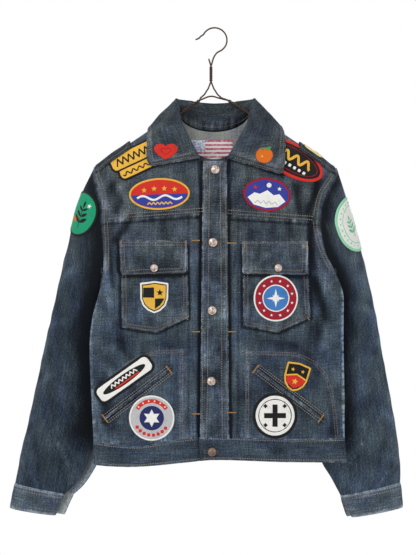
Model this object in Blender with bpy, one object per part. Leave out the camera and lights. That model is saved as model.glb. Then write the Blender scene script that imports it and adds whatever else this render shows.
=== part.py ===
"""Denim jacket with sewn-on patches, hanging on a twisted wire hanger.

Sizes are in millimetres and become metres when an object is made. X runs across the jacket (the
wearer's left is +X), Y from the front (-Y) to the back, Z up. The origin lies inside the crown of
the hook. Every cloth piece is cut from one of a few surfaces: a surface is a triangle mesh laid
flat, whose points remember their place in space and their outward direction. A piece is trimmed
to its outline while flat, then raised to its own height above the surface and given its wall, so
pieces that lie on each other never meet.
"""

import math
from collections import namedtuple

import bmesh
import bpy
from mathutils import Vector

MM = 0.001
FRONT, BACK = -1, 1
SEAM_GAP = 0.4  # between two pieces that meet at a seam
WALL = 2.0  # thickness of a panel
PATCH_WALL = 1.3
MERGE = 0.01
SETTLE = 6  # rounds in which a point on a slanting edge finds its place
CUT = 1e-4  # nearer than this to a cutting plane is on it

# ---------------------------------------------------------------- torso sizes
FAR_X, FAR_Z = 240.0, -800.0  # past the body's edges
NECK_HALF = 65.0
NECK_SIDE_Z = -148.0
SHOULDER_SLOPE = 0.682
FRONT_NECK_DROP = 90.0
BACK_NECK_DROP = 36.0
CROWN_DROP = 60.0  # height over which the shoulders round from front to back
ARMPIT_Z = -440.0
ARMHOLE_TOP_Z = -251.0
ARMHOLE_HALF = 24.0
SIDE_SEAM_Y = -14.0
BULGE_POWER = 2.5
UNDERLAP_X = 18.0
UNDERLAP_DEPTH = 2.8
UNDERLAP_START_X = -34.0
UNDERLAP_FULL_X = -27.0

BodyRow = namedtuple("BodyRow", "z right left front back")
BODY = (
    BodyRow(-148, -216, 221, -34, 26),
    BodyRow(-251, -216, 221, -36, 28),
    BodyRow(-300, -202.5, 194.4, -38, 30),
    BodyRow(-350, -198, 185.4, -39, 31),
    BodyRow(-400, -196, 196.5, -39, 31),
    BodyRow(-440, -198.5, 217, -38, 30),
    BodyRow(-475, -206, 231, -37, 30),
    BodyRow(-520, -218, 232, -36, 29),
    BodyRow(-570, -223, 232, -34, 28),
    BodyRow(-669, -219.6, 234, -31, 26),
    BodyRow(-741, -216, 234, -30, 25),
    BodyRow(-790, -214, 238, -30, 25),
)

LevelRow = namedtuple("LevelRow", "x waist hem")
LEVELS = (
    LevelRow(-230, -741, -782),
    LevelRow(-187, -747, -785.5),
    LevelRow(-130, -750, -785.5),
    LevelRow(-61, -737.5, -779),
    LevelRow(0, -733.5, -773.5),
    LevelRow(120, -737, -777),
    LevelRow(240, -737, -779),
)

BAND_Z = -760.0
BAND_SHARES = (0, 0.5, 1)  # rows down the waistband
BAND_CLEAR = 14.0  # between the front edge and the nearest even column on either side

# Heights of the rows down a panel, as shares of its length, and of columns across it.
ROW_SHARES = (0, 0.008, 0.035, 0.085, 0.15, 0.225, 0.29, 0.345, 0.3857, 0.425)
ROWS_BELOW_ARMPIT = 6  # even rows under those
SIDE_SHARES = (0, 0.24, 0.46, 0.66, 0.82, 0.93, 1)
NECK_SHARES = (-1, -0.85, -0.45, 0, 0.45, 0.85, 1)
BACK_SIDE_SHARES = (0, 0.35, 0.65, 0.88, 1)
BACK_NECK_SHARES = (-1, -0.7, 0, 0.7, 1)

Fold = namedtuple("Fold", "x0 z0 x1 z1 width height")
FRONT_FOLDS = (
    Fold(-188, -370, -178, -560, 20, 4),
    Fold(-212, -470, -150, -600, 20, -4),
    Fold(-35, -560, -58, -728, 18, 3),
    Fold(186, -400, 200, -590, 20, 4),
    Fold(224, -480, 165, -590, 20, -4),
    Fold(206, -640, 214, -733, 18, 3),
    Fold(-204, -640, -192, -735, 18, 3),
    Fold(-150, -268, -186, -332, 18, 3),
    Fold(150, -280, 176, -334, 18, 3),
    Fold(0, -560, 8, -700, 22, -3),
)
BACK_FOLDS = (
    Fold(-90, -360, -70, -640, 30, 5),
    Fold(80, -380, 95, -660, 30, 5),
    Fold(-160, -430, -120, -600, 26, -4),
    Fold(180, -440, 140, -610, 26, -4),
    Fold(0, -300, 10, -520, 34, -3),
)

# ---------------------------------------------------------------- sleeves
SleeveRow = namedtuple("SleeveRow", "ring outer_x outer_z inner_x inner_z depth behind")
SLEEVE_RIGHT = (
    SleeveRow(0, -216, -251, -198.5, -440, 24, -3),
    SleeveRow(1, -236, -291, -197.5, -449, 33, 6),
    SleeveRow(2, -251, -330, -195, -461, 37, 16),
    SleeveRow(3, -264, -385, -193, -480, 37, 25),
    SleeveRow(4, -277, -435, -192, -503, 36, 32),
    SleeveRow(5, -289, -490, -192, -540, 35, 36),
    SleeveRow(6, -303, -550, -197, -585, 33, 37),
    SleeveRow(7, -315, -605, -201, -635, 31, 37),
    SleeveRow(8, -327, -660, -207, -688, 29, 37),
    SleeveRow(9, -339, -715, -214, -736, 26, 37),
    SleeveRow(10, -351, -765, -226, -780, 23, 35),
    SleeveRow(11, -358, -803, -250, -821, 20, 32),
    SleeveRow(12, -362, -823.5, -271, -842, 17, 30),
)
SLEEVE_LEFT = (
    SleeveRow(0, 221, -254.5, 217, -440, 24, -3),
    SleeveRow(1, 238, -303, 217.5, -449, 33, 6),
    SleeveRow(2, 250, -338, 215, -462, 37, 17),
    SleeveRow(3, 265, -390, 211, -482, 37, 27),
    SleeveRow(4, 277, -435, 206, -505, 36, 35),
    SleeveRow(5, 290, -490, 198, -540, 34, 40),
    SleeveRow(6, 301, -550, 191, -585, 31, 41),
    SleeveRow(7, 311, -607, 187, -635, 29, 41),
    SleeveRow(8, 321, -660, 186, -690, 26, 40),
    SleeveRow(9, 330, -712, 188, -742, 23, 39),
    SleeveRow(10, 337, -762, 196, -783, 21, 38),
    SleeveRow(11, 340, -800, 213, -812, 19, 35),
    SleeveRow(12, 339, -822.5, 231, -846, 17, 32),
)
SLEEVE_STOPS = (0, 0.5, 1, 1.5, 2, 3, 4, 5, 6, 7, 8, 9, 10, 11, 12)
ARMHOLE_GAP = 0.9
ARMPIT_REACH = 1.5  # a panel's corner this near the armpit belongs to the armhole
ARMPIT_OUT, ARMPIT_UP = 1.0, 1.8  # from the panels' corner to the sleeve's point under the arm
SLEEVE_CLEARANCE = 3.5  # between a sleeve's skin and the torso's
ARMHOLE_FADE = 3.5  # rings over which the armhole's shape becomes an ellipse

CuffRow = namedtuple("CuffRow", "ring outer_x outer_z inner_x inner_z depth behind")
CUFF_RIGHT = (
    CuffRow(0, -362.4, -824.2, -271.4, -842.7, 17.5, 30),
    CuffRow(1, -367, -846, -280, -861, 18, 30),
    CuffRow(2, -371, -867, -288, -880, 18.5, 30),
)
CUFF_LEFT = (
    CuffRow(0, 339.2, -823.2, 231.2, -846.7, 17.5, 32),
    CuffRow(1, 342, -845, 240, -865, 18, 32),
    CuffRow(2, 343.5, -866, 251, -884, 18.5, 32),
)
SLIT_TOP_RING = 8.8
SLIT_RINGS = 1.5  # over which the slit opens
SLIT_TURN = 60.0  # degrees of each half that take part
SLIT_DEPTH = 3.5  # each half moves so far forward or back
SLIT_SPREAD = 17.0  # how far the back half stands out past the front half at the open slit
CLOSED_SPREAD = 9.0  # and at the foot of the buttoned cuff
CUFF_END = 4.0  # degrees round the wrist from the seam under the arm to each end of the cuff

RING_STEP, DEGREE_STEP = 48.0, 0.8  # millimetres along a ring's step and round a degree of turn
SleeveFold = namedtuple("SleeveFold", "ring0 turn0 ring1 turn1 width height")
SLEEVE_FOLDS = (
    SleeveFold(3.0, -150, 5.0, -30, 26, 4),
    SleeveFold(5.5, -140, 7.5, -10, 26, 4),
    SleeveFold(8.0, -130, 9.5, -30, 24, 3),
    SleeveFold(4.5, 150, 6.5, 30, 26, 4),
    SleeveFold(7.5, 140, 9.5, 20, 26, 3),
)

# ---------------------------------------------------------------- collar
# One row for each station along the neckline: the seam, the fold and the outer edge, each with its
# distance off the torso; side is the panel it lies over, facing the way the fold looks.
Station = namedtuple(
    "Station",
    "at seam_x seam_z fold_x fold_z fold_off edge_x edge_z edge_off side facing",
)
COLLAR = (
    Station(0, -26, -228, -25, -227, 0, -114, -243, 6.5, FRONT, 0),
    Station(1, -37, -220, -37, -210, 0, -119, -231, 6.5, FRONT, 0),
    Station(2, -49, -205, -49, -188, 0, -120, -212, 6.5, FRONT, 8),
    Station(3, -58, -187, -56, -170, 0, -120, -197, 7, FRONT, 25),
    Station(4, -62.5, -168, -60, -148, 0, -119.5, -187, 8, FRONT, 55),
    Station(5, -64, -147, -67, -127, 0, -119, -178, 2, FRONT, 90),
    Station(6, -60, -161, -62, -130, 2, -103, -188, 8, BACK, 125),
    Station(7, -47, -172, -48, -131.5, 3, -78, -202, 9, BACK, 150),
    Station(8, -25, -180, -26, -133.5, 4, -40, -207, 10, BACK, 170),
    Station(9, 0, -182.5, 0, -134, 4, 0, -208, 10, BACK, 180),
    Station(10, 25, -180, 28, -133.5, 4, 42, -207, 10, BACK, 190),
    Station(11, 47, -172, 50, -131.5, 3, 80, -202, 9, BACK, 210),
    Station(12, 60, -161, 65, -129, 2, 106, -187, 11, BACK, 235),
    Station(13, 64, -147, 71, -125.5, 0, 121, -176, 3, FRONT, 270),
    Station(14, 62.5, -168, 62, -151, 0, 127, -189, 9, FRONT, 305),
    Station(15, 58, -187, 57, -172, 0, 128, -204, 8, FRONT, 335),
    Station(16, 49, -205, 48, -192, 0, 127, -223, 7.2, FRONT, 352),
    Station(17, 37, -220, 36, -211, 0, 124, -243, 7.2, FRONT, 360),
    Station(18, 26, -228, 23, -227.5, 0, 120.5, -262, 7.2, FRONT, 360),
)
COLLAR_FOLD_GAP = 7.0
COLLAR_STEPS = 2
LEAF_X, LEAF_Y = 80.0, -18.0  # beyond both, the collar is its front leaf
LEAF_OFF = 7.0  # the leaf's middle off the fronts

# ---------------------------------------------------------------- pieces on the fronts
PLACKET_TOP_Z = -241.0
PLACKET_LEFT = ((-19.8, -241.0), (-25.2, -735.0))
PLACKET_RIGHT = ((22.5, -241.0), (27.0, -735.0))
YOKE_SEAM_RIGHT = ((-FAR_X, -348.7), (30.0, -329.0))
YOKE_SEAM_LEFT = ((-30.0, -333.0), (FAR_X, -350.9))
YOKE_SEAM_BACK_Z = -330.0

Layer = namedtuple("Layer", "low high")
PANEL = Layer(-WALL, 0.0)
ON_PANEL = Layer(0.4, 0.4 + PATCH_WALL)
ON_POCKET = Layer(2.1, 2.1 + PATCH_WALL)
UNDER_PANEL = Layer(-WALL - 0.4 - PATCH_WALL, -WALL - 0.4)
BAND = Layer(-1.8, 0.6)
CUFF = Layer(-1.6, 1.0)

Polygon = namedtuple("Polygon", "name surface layer colour corners")
POLYGONS = (
    Polygon("chest_pocket_right", "front", ON_PANEL, "denim",
            ((-165.6, -395), (-163.8, -537), (-102.6, -546), (-45, -519), (-47.5, -395))),
    Polygon("chest_pocket_left", "front", ON_PANEL, "denim",
            ((51, -395), (52, -534), (113.4, -546), (171, -519), (166.5, -395))),
    Polygon("flap_right", "front", ON_POCKET, "denim",
            ((-169, -382.5), (-169, -436), (-161, -443.7), (-57, -440), (-48.6, -432),
             (-48.6, -382.5))),
    Polygon("flap_left", "front", ON_POCKET, "denim",
            ((49.5, -384), (49.5, -433), (57, -441), (158, -443.7), (166, -436), (166, -384))),
    Polygon("welt_right", "front", ON_PANEL, "denim",
            ((-74.8, -605.2), (-85.2, -618.8), (-200.2, -706.8), (-189.8, -693.2))),
    Polygon("welt_left", "front", ON_PANEL, "denim",
            ((68.7, -604.2), (185.7, -693.2), (195.9, -706.8), (78.9, -617.8))),
)

Round = namedtuple("Round", "name surface layer colour x z half_wide half_high tilt")
ROUNDS = (
    Round("patch_yoke_oval_right", "front", ON_PANEL, "red", -97, -300, 53, 27, 2),
    Round("patch_yoke_oval_left", "front", ON_PANEL, "blue", 94, -301, 41, 28, -6),
    Round("patch_shoulder_oval_left", "front", ON_PANEL, "black", 139, -238.5, 59, 27, -30),
    Round("patch_pocket_roundel_left", "front", ON_POCKET, "red", 111, -485, 40, 40, 0),
    Round("patch_waist_roundel_right", "front", ON_PANEL, "white", -111, -701, 39.5, 39.5, 0),
    Round("patch_waist_roundel_left", "front", ON_PANEL, "white", 109, -697, 38, 38, 0),
    Round("patch_fruit_collar_left", "collar", ON_PANEL, "orange", 91, -229.5, 15, 15, 0),
    Round("patch_sleeve_round_right", "sleeve_right", ON_PANEL, "green", 0, -333.5, 40, 40, 0),
    Round("patch_sleeve_round_left", "sleeve_left", ON_PANEL, "white", -8, -352, 48.5, 48.5, 0),
)
ROUND_SIDES = 16

Shield = namedtuple("Shield", "name surface layer colour x z wide high tilt")
SHIELDS = (
    Shield("patch_pocket_shield_right", "front", ON_POCKET, "white", -107, -483, 50, 56, 0),
    Shield("patch_waist_shield_left", "front", ON_PANEL, "yellow", 149, -625.5, 41, 50, -16),
)
SHIELD_SHAPE = ((-0.5, 0.44), (-0.49, -0.05), (-0.4, -0.27), (-0.22, -0.42), (0, -0.5),
                (0.22, -0.42), (0.4, -0.27), (0.49, -0.05), (0.5, 0.44), (0, 0.5))

Bar = namedtuple("Bar", "name surface layer colour x z wide high corner tilt")
BARS = (
    Bar("patch_waist_bar_right", "front", ON_PANEL, "black", -161, -631, 115, 31, 15, 35.4),
    Bar("patch_yoke_bar_right", "front", ON_PANEL, "yellow", -142, -239, 86, 45, 9, 25),
    Bar("patch_shoulder_top_left", "epaulet_left", ON_PANEL, "yellow", 175.5, 2, 31, 34, 5, 0),
)
CORNER_SIDES = 3

HEART = Round("patch_heart_collar_right", "collar", ON_PANEL, "red", -85.5, -222, 21.5, 13.5, 0)
HEART_SHAPE = ((0.0, 0.62), (0.22, 0.92), (0.52, 1.0), (0.8, 0.86), (0.98, 0.5), (0.9, 0.05),
               (0.55, -0.5), (0.0, -1.0))
LABEL_CORNERS = ((-43, -199), (-43, -212), (-22, -232), (2, -236), (24, -231), (34, -216),
                 (34, -199))

# ---------------------------------------------------------------- epaulets and buttons
Epaulet = namedtuple("Epaulet", "name outer_x inner_x")
EPAULETS = (
    Epaulet("epaulet_right", -213.0, -149.0),
    Epaulet("epaulet_left", 217.0, 151.0),
)
EPAULET_DROPS = (-15, -9, -4, -1.2, 0, 1.2, 4, 10, 18)  # below the shoulder line, front negative
EPAULET_LIFT = Layer(2.4, 4.4)
EPAULET_STEPS = 4
EPAULET_SEAT = 2.0  # the sewn outer end comes down to the yoke by this

Button = namedtuple("Button", "name x z radius lift")
BUTTONS = (
    Button("button_1", 1.8, -256.5, 8.0, 1.7),
    Button("button_2", -1.8, -386.0, 8.0, 1.7),
    Button("button_3", -3.6, -506.7, 8.0, 1.7),
    Button("button_4", -5.4, -632.7, 8.0, 1.7),
    Button("button_5", -3.6, -758.7, 8.0, 0.6),
    Button("flap_button_right", -106.2, -431.0, 7.0, 3.4),
    Button("flap_button_left", 113.4, -431.0, 7.0, 3.4),
)
BUTTON_SEAT = 0.7
BUTTON_HEIGHT = 4.2
BUTTON_STEPS = 16
BUTTON_PROFILE = ((0, 0), (0.72, 0), (0.8, 0.19), (0.98, 0.29), (1, 0.48), (0.9, 0.72),
                  (0.55, 0.93), (0, 1))  # shares of the radius and the height
TILT_REACH = 8.0  # the cloth's slope under a button is read this far from it

# ---------------------------------------------------------------- hanger
WIRE = 1.3  # radius
TWIST_RADIUS = 1.5
HOOK_CENTRE = Vector((1.0, 0.0, -21.0))
HOOK_RADIUS = 22.3
HOOK_FROM, HOOK_TO = 178.0, -30.0  # degrees round the hook, from its tip to its shank
HOOK_STEPS = 12
HOOK_TIP = (Vector((-33.5, 0.0, -20.0)), Vector((-27.0, 0.0, -17.5)))
HOOK_LEFT_X = -19.5  # the crown's points beyond this give way to the tip
SHANK = (Vector((9, 0, -41.5)), Vector((1.5, 0, -48.5)), Vector((-2.5, 0.6, -58)))
FREE_END = (Vector((-9.5, -0.6, -54.5)), Vector((-7.5, -1.0, -61.0)))
FORK = (Vector((5, 0, -108)), Vector((12, 0, -119)))  # from the neck's line, towards the arms
BRACE_ARC = (Vector((-15, 0, -124.5)), Vector((-5, 0, -122.0)), Vector((6, 0, -124.5)))
SHANK_X = -5.4
NECK_TWIST_TOP, NECK_TWIST_LOW = -69.0, -95.0
NECK_TURNS = 3.5
ARM_TWIST_X, ARM_TWIST_Z = 26.0, -129.5
ARM_STRAIGHT_X = 60.0
ARM_NECK_DIP = Vector((0.0, 0.0, -1.9))  # clears the corner where neckline and shoulder meet
ARM_END_X = 188.0
ARM_TURNS = 3.5
ARM_BELOW = (WALL + WIRE + 1.1) * math.sqrt(1 + SHOULDER_SLOPE**2)
TURN_POINTS = 6

COLOURS = {
    "denim": (0.055, 0.075, 0.11, 1),
    "denim_reverse": (0.22, 0.24, 0.26, 1),
    "red": (0.55, 0.03, 0.02, 1),
    "blue": (0.03, 0.05, 0.35, 1),
    "black": (0.01, 0.01, 0.012, 1),
    "white": (0.75, 0.74, 0.7, 1),
    "yellow": (0.8, 0.5, 0.05, 1),
    "orange": (0.8, 0.2, 0.02, 1),
    "green": (0.03, 0.3, 0.09, 1),
    "copper": (0.6, 0.42, 0.32, 1),
    "wire": (0.09, 0.05, 0.035, 1),
}


# ---------------------------------------------------------------- numbers
def smooth(rows, key, name, place):
    """Value of a table's column where its key column reaches place, on a curve through the rows."""
    if getattr(rows[0], key) > getattr(rows[-1], key):
        rows = rows[::-1]
    keys = [getattr(row, key) for row in rows]
    values = [getattr(row, name) for row in rows]
    if place <= keys[0]:
        return values[0]
    if place >= keys[-1]:
        return values[-1]
    i = max(n for n, number in enumerate(keys[:-1]) if number <= place)

    def slope(n):
        low, high = max(n - 1, 0), min(n + 1, len(keys) - 1)
        return (values[high] - values[low]) / (keys[high] - keys[low])

    span = keys[i + 1] - keys[i]
    t = (place - keys[i]) / span
    return (
        (2 * t**3 - 3 * t**2 + 1) * values[i]
        + (t**3 - 2 * t**2 + t) * span * slope(i)
        + (3 * t**2 - 2 * t**3) * values[i + 1]
        + (t**3 - t**2) * span * slope(i + 1)
    )


def quarter(share):
    """Quarter circle: 0 at 0, rising steeply to 1 at 1 and beyond."""
    return math.sqrt(max(0.0, 1 - (1 - min(max(share, 0.0), 1.0)) ** 2))


def fold_height(folds, x, z):
    """Height of the soft ridges and troughs at a flat point."""
    total = 0.0
    point = Vector((x, z))
    for fold in folds:
        start = Vector((fold.x0, fold.z0))
        along = Vector((fold.x1, fold.z1)) - start
        share = min(max((point - start).dot(along) / along.length_squared, 0.0), 1.0)
        away = (point - start - along * share).length / fold.width
        if away < 1:
            total += fold.height * (1 - away**2) ** 2 * (0.35 + 0.65 * math.sin(math.pi * share))
    return total


# ---------------------------------------------------------------- torso surface
def shoulder_z(x):
    return NECK_SIDE_Z - SHOULDER_SLOPE * (abs(x) - NECK_HALF)


def neck_z(side, x):
    drop = FRONT_NECK_DROP if side == FRONT else BACK_NECK_DROP
    return NECK_SIDE_Z - drop * math.sqrt(max(0.0, 1 - (x / NECK_HALF) ** 2))


def top_z(side, x):
    return shoulder_z(x) if abs(x) >= NECK_HALF else neck_z(side, x)


def edge_x(share, z):
    """X at a share of the width: -1 is the right edge of the body, 1 the left."""
    right, left = smooth(BODY, "z", "right", z), smooth(BODY, "z", "left", z)
    return right + (left - right) * (share + 1) / 2


def side_y(side, z):
    """Y of the panel's edge: the armhole's loop above the armpit, the side seam below it."""
    height = (z - ARMPIT_Z) / (ARMHOLE_TOP_Z - ARMPIT_Z)
    if height <= 0:
        return SIDE_SEAM_Y
    centre = SIDE_SEAM_Y * (1 - min(height, 1.0))
    return centre + side * ARMHOLE_HALF * quarter(height / 0.5)


def torso_y(side, x, z):
    """Y of the torso's outer face over a flat point."""
    right, left = edge_x(-1, z), edge_x(1, z)
    share = min(abs((2 * x - right - left) / (left - right)), 1.0)
    middle = smooth(BODY, "z", "front" if side == FRONT else "back", z)
    edge = side_y(side, z)
    bulge = math.sqrt(1 - share**BULGE_POWER)
    folds = FRONT_FOLDS if side == FRONT else BACK_FOLDS
    lift = fold_height(folds, x, z) * quarter((1 - share) / 0.1)
    crown = quarter((shoulder_z(x) - z) / CROWN_DROP)
    return (edge + (middle - edge) * bulge + side * lift) * crown + side * SEAM_GAP / 2


def torso_point(side, x, z):
    return Vector((x, torso_y(side, x, z), z))


def column_shares(side):
    """Shares of the width at which the columns start, so that two of them end the neckline."""
    right, left = edge_x(-1, NECK_SIDE_Z), edge_x(1, NECK_SIDE_Z)
    neck = [(2 * x - right - left) / (left - right) for x in (-NECK_HALF, NECK_HALF)]
    sides = SIDE_SHARES if side == FRONT else BACK_SIDE_SHARES
    middles = NECK_SHARES if side == FRONT else BACK_NECK_SHARES
    right_shares = [neck[0] - (neck[0] + 1) * share for share in reversed(sides)]
    neck_shares = [
        neck[0] + (neck[1] - neck[0]) * (share + 1) / 2 for share in middles[1:-1]
    ]
    left_shares = [neck[1] + (1 - neck[1]) * share for share in sides]
    return right_shares + neck_shares + left_shares


def row_shares():
    start = ROW_SHARES[-1]
    steps = [start + (1 - start) * n / ROWS_BELOW_ARMPIT for n in range(1, ROWS_BELOW_ARMPIT + 1)]
    return list(ROW_SHARES) + steps


def level(name, x):
    return smooth(LEVELS, "x", name, x)


# ---------------------------------------------------------------- surfaces and pieces
def new_surface(columns, rows, point_of, flat_of=None):
    """A triangle mesh laid flat, made from a grid whose points are placed by point_of(i, j).

    Each point keeps its place and its outward direction in the layers "placed" and "outward".
    """
    surface = bmesh.new()
    bmesh.ops.create_grid(surface, x_segments=columns, y_segments=rows, size=0.5)
    placed = surface.verts.layers.float_vector.new("placed")
    outward = surface.verts.layers.float_vector.new("outward")
    places = {}
    for vert in surface.verts:
        i, j = round((vert.co.x + 0.5) * columns), round((0.5 - vert.co.y) * rows)
        places[vert] = (i, j)
        vert.co = point_of(i, j)
    bmesh.ops.triangulate(surface, faces=surface.faces[:])
    surface.normal_update()
    for vert in surface.verts:
        vert[placed] = vert.co
        vert[outward] = vert.normal
        i, j = places[vert]
        flat = flat_of(i, j) if flat_of else (vert.co.x, vert.co.z)
        vert.co = (flat[0], flat[1], 0)
    return surface


def turn_outward(surface, looks_out):
    """Flips the stored directions if they don't look out, as told by looks_out(place, outward)."""
    placed = surface.verts.layers.float_vector["placed"]
    outward = surface.verts.layers.float_vector["outward"]
    votes = sum(1 if looks_out(v[placed], v[outward]) else -1 for v in surface.verts)
    if votes < 0:
        for vert in surface.verts:
            vert[outward] = -Vector(vert[outward])
    return surface


def trim(surface, outline):
    """A copy of the surface cut to a convex outline in the flat."""
    piece = surface.copy()
    area = sum(
        a[0] * b[1] - b[0] * a[1] for a, b in zip(outline, outline[1:] + outline[:1])
    )
    turn = 1 if area > 0 else -1
    for start, end in zip(outline, outline[1:] + outline[:1]):
        away = Vector(((end[1] - start[1]) * turn, (start[0] - end[0]) * turn, 0))
        bmesh.ops.bisect_plane(
            piece,
            geom=piece.verts[:] + piece.edges[:] + piece.faces[:],
            dist=CUT,
            plane_co=(start[0], start[1], 0),
            plane_no=away.normalized(),
            clear_outer=True,
        )
    return piece


def walled(piece, layer):
    """The flat piece raised to its place, with a wall from the layer's low to its high side."""
    placed = piece.verts.layers.float_vector["placed"]
    outward = piece.verts.layers.float_vector["outward"]
    base = piece.verts[:]
    for vert in base:
        vert.co = Vector(vert[placed]) + Vector(vert[outward]) * layer.low
    made = bmesh.ops.extrude_face_region(piece, geom=piece.faces[:], use_keep_orig=True)
    for vert in (item for item in made["geom"] if isinstance(item, bmesh.types.BMVert)):
        vert.co = Vector(vert[placed]) + Vector(vert[outward]) * layer.high
    bmesh.ops.recalc_face_normals(piece, faces=piece.faces[:])
    return piece


def colour_material(name):
    material = bpy.data.materials.get(name) or bpy.data.materials.new(name)
    material.use_nodes = True
    shader = material.node_tree.nodes["Principled BSDF"]
    shader.inputs["Base Color"].default_value = COLOURS[name]
    metal = name in ("copper", "wire")
    shader.inputs["Metallic"].default_value = 1.0 if metal else 0.0
    shader.inputs["Roughness"].default_value = 0.4 if metal else 0.9
    return material


def place_object(name, data, colour):
    thing = bpy.data.objects.new(name, data)
    material = colour_material(colour).copy()
    material.name = name
    data.materials.append(material)
    bpy.data.collections["patched_denim_jacket"].objects.link(thing)
    return thing


def finish(name, mesh, colour):
    """Turns a mesh in millimetres into a named object in metres."""
    bmesh.ops.scale(mesh, vec=(MM, MM, MM), verts=mesh.verts[:])
    data = bpy.data.meshes.new(name)
    mesh.to_mesh(data)
    mesh.free()
    return place_object(name, data, colour)


def sew(name, surface, outline, layer, colour):
    return finish(name, walled(trim(surface, outline), layer), colour)


# ---------------------------------------------------------------- outlines
def turned(points, x, z, tilt):
    """Points turned by tilt degrees (positive rises to the right) and moved to x, z."""
    c, s = math.cos(math.radians(tilt)), math.sin(math.radians(tilt))
    return [(x + a * c - b * s, z + a * s + b * c) for a, b in points]


def ellipse_outline(item):
    angles = [2 * math.pi * n / ROUND_SIDES for n in range(ROUND_SIDES)]
    points = [(item.half_wide * math.cos(a), item.half_high * math.sin(a)) for a in angles]
    return turned(points, item.x, item.z, item.tilt)


def bar_outline(item):
    points = []
    for corner, (side_x, side_z) in enumerate(((1, 1), (-1, 1), (-1, -1), (1, -1))):
        for n in range(CORNER_SIDES + 1):
            angle = math.pi / 2 * (corner + n / CORNER_SIDES)
            points.append((
                side_x * (item.wide / 2 - item.corner) + item.corner * math.cos(angle),
                side_z * (item.high / 2 - item.corner) + item.corner * math.sin(angle),
            ))
    return turned(points, item.x, item.z, item.tilt)


def shield_outline(item):
    points = [(a * item.wide, b * item.high) for a, b in SHIELD_SHAPE]
    return turned(points, item.x, item.z, item.tilt)


def heart_half(item, side):
    """One convex half of a heart, from the notch round its lobe to the tip."""
    points = [(side * a * item.half_wide, b * item.half_high) for a, b in HEART_SHAPE]
    return turned(points, item.x, item.z, item.tilt)


# ---------------------------------------------------------------- torso pieces
def torso_surface(side):
    """The whole front or back of the body, from neckline and shoulders to the waist seam."""
    columns, rows = column_shares(side), row_shares()

    def point_of(i, j):
        share = columns[i]
        x = edge_x(share, ARMHOLE_TOP_Z)
        for _ in range(SETTLE):
            top = top_z(side, x)
            z = top + (level("waist", x) + SEAM_GAP / 2 - top) * rows[j]
            x = edge_x(share, z)
        return torso_point(side, x, z)

    surface = new_surface(len(columns) - 1, len(rows) - 1, point_of)
    turn_outward(surface, lambda place, outward: side * outward[1] > 0)
    level_seam_directions(surface)
    return surface


def level_seam_directions(surface):
    """Points on the shoulder and side seams look straight out, so that two walls meet squarely."""
    placed = surface.verts.layers.float_vector["placed"]
    outward = surface.verts.layers.float_vector["outward"]
    for vert in surface.verts:
        x, y, z = vert[placed]
        on_shoulder = abs(z - shoulder_z(x)) < MERGE
        on_edge = min(abs(x - edge_x(sign, z)) for sign in (-1, 1)) < MERGE
        on_side = on_edge and z < ARMPIT_Z + MERGE
        if on_shoulder or on_side:
            direction = Vector(vert[outward])
            direction.y = 0
            vert[outward] = direction.normalized()


def underlapped(surface):
    """The right front's own copy, whose edge dips to pass under the left front."""
    copy = surface.copy()
    for x in (UNDERLAP_START_X, UNDERLAP_FULL_X):
        parts = copy.verts[:] + copy.edges[:] + copy.faces[:]
        bmesh.ops.bisect_plane(copy, geom=parts, dist=CUT, plane_co=(x, 0, 0), plane_no=(1, 0, 0))
    bmesh.ops.triangulate(copy, faces=copy.faces[:])
    placed = copy.verts.layers.float_vector["placed"]
    outward = copy.verts.layers.float_vector["outward"]
    for vert in copy.verts:
        if vert.co.x > UNDERLAP_FULL_X - MERGE:
            vert[placed] = Vector(vert[placed]) - Vector(vert[outward]) * UNDERLAP_DEPTH
    return copy


def shifted(line, distance):
    return [(x, z + distance) for x, z in line]


def on_line(line, x=None, z=None):
    """The point of a straight line at one of its coordinates."""
    (x0, z0), (x1, z1) = line
    share = (z - z0) / (z1 - z0) if x is None else (x - x0) / (x1 - x0)
    return x0 + (x1 - x0) * share, z0 + (z1 - z0) * share


def build_torso(front, back):
    half = SEAM_GAP / 2
    right = underlapped(front)
    above, below = shifted(YOKE_SEAM_RIGHT, half), shifted(YOKE_SEAM_RIGHT, -half)
    sew("front_yoke_right", right,
        [above[0], on_line(above, x=UNDERLAP_X), (UNDERLAP_X, 0), (-FAR_X, 0)], PANEL, "denim")
    sew("front_right", right,
        [below[0], (-FAR_X, FAR_Z), (UNDERLAP_X, FAR_Z), on_line(below, x=UNDERLAP_X)],
        PANEL, "denim")
    above, below = shifted(YOKE_SEAM_LEFT, half), shifted(YOKE_SEAM_LEFT, -half)
    edge_at_seam = on_line(PLACKET_LEFT, z=YOKE_SEAM_LEFT[0][1])[0]
    sew("front_yoke_left", front,
        [on_line(above, x=edge_at_seam), above[1], (FAR_X, 0), on_line(PLACKET_LEFT, z=0)],
        PANEL, "denim")
    sew("front_left", front,
        [on_line(below, x=edge_at_seam), on_line(PLACKET_LEFT, z=FAR_Z), (FAR_X, FAR_Z), below[1]],
        PANEL, "denim")
    sew("placket", front, [*PLACKET_LEFT, *PLACKET_RIGHT[::-1]], ON_PANEL, "denim")
    above, below = YOKE_SEAM_BACK_Z + half, YOKE_SEAM_BACK_Z - half
    sew("back_yoke", back, [(-FAR_X, above), (FAR_X, above), (FAR_X, 0), (-FAR_X, 0)],
        PANEL, "denim")
    sew("back_panel", back, [(-FAR_X, below), (-FAR_X, FAR_Z), (FAR_X, FAR_Z), (FAR_X, below)],
        PANEL, "denim")
    sew("neck_label", back, list(LABEL_CORNERS), UNDER_PANEL, "white")


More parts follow.
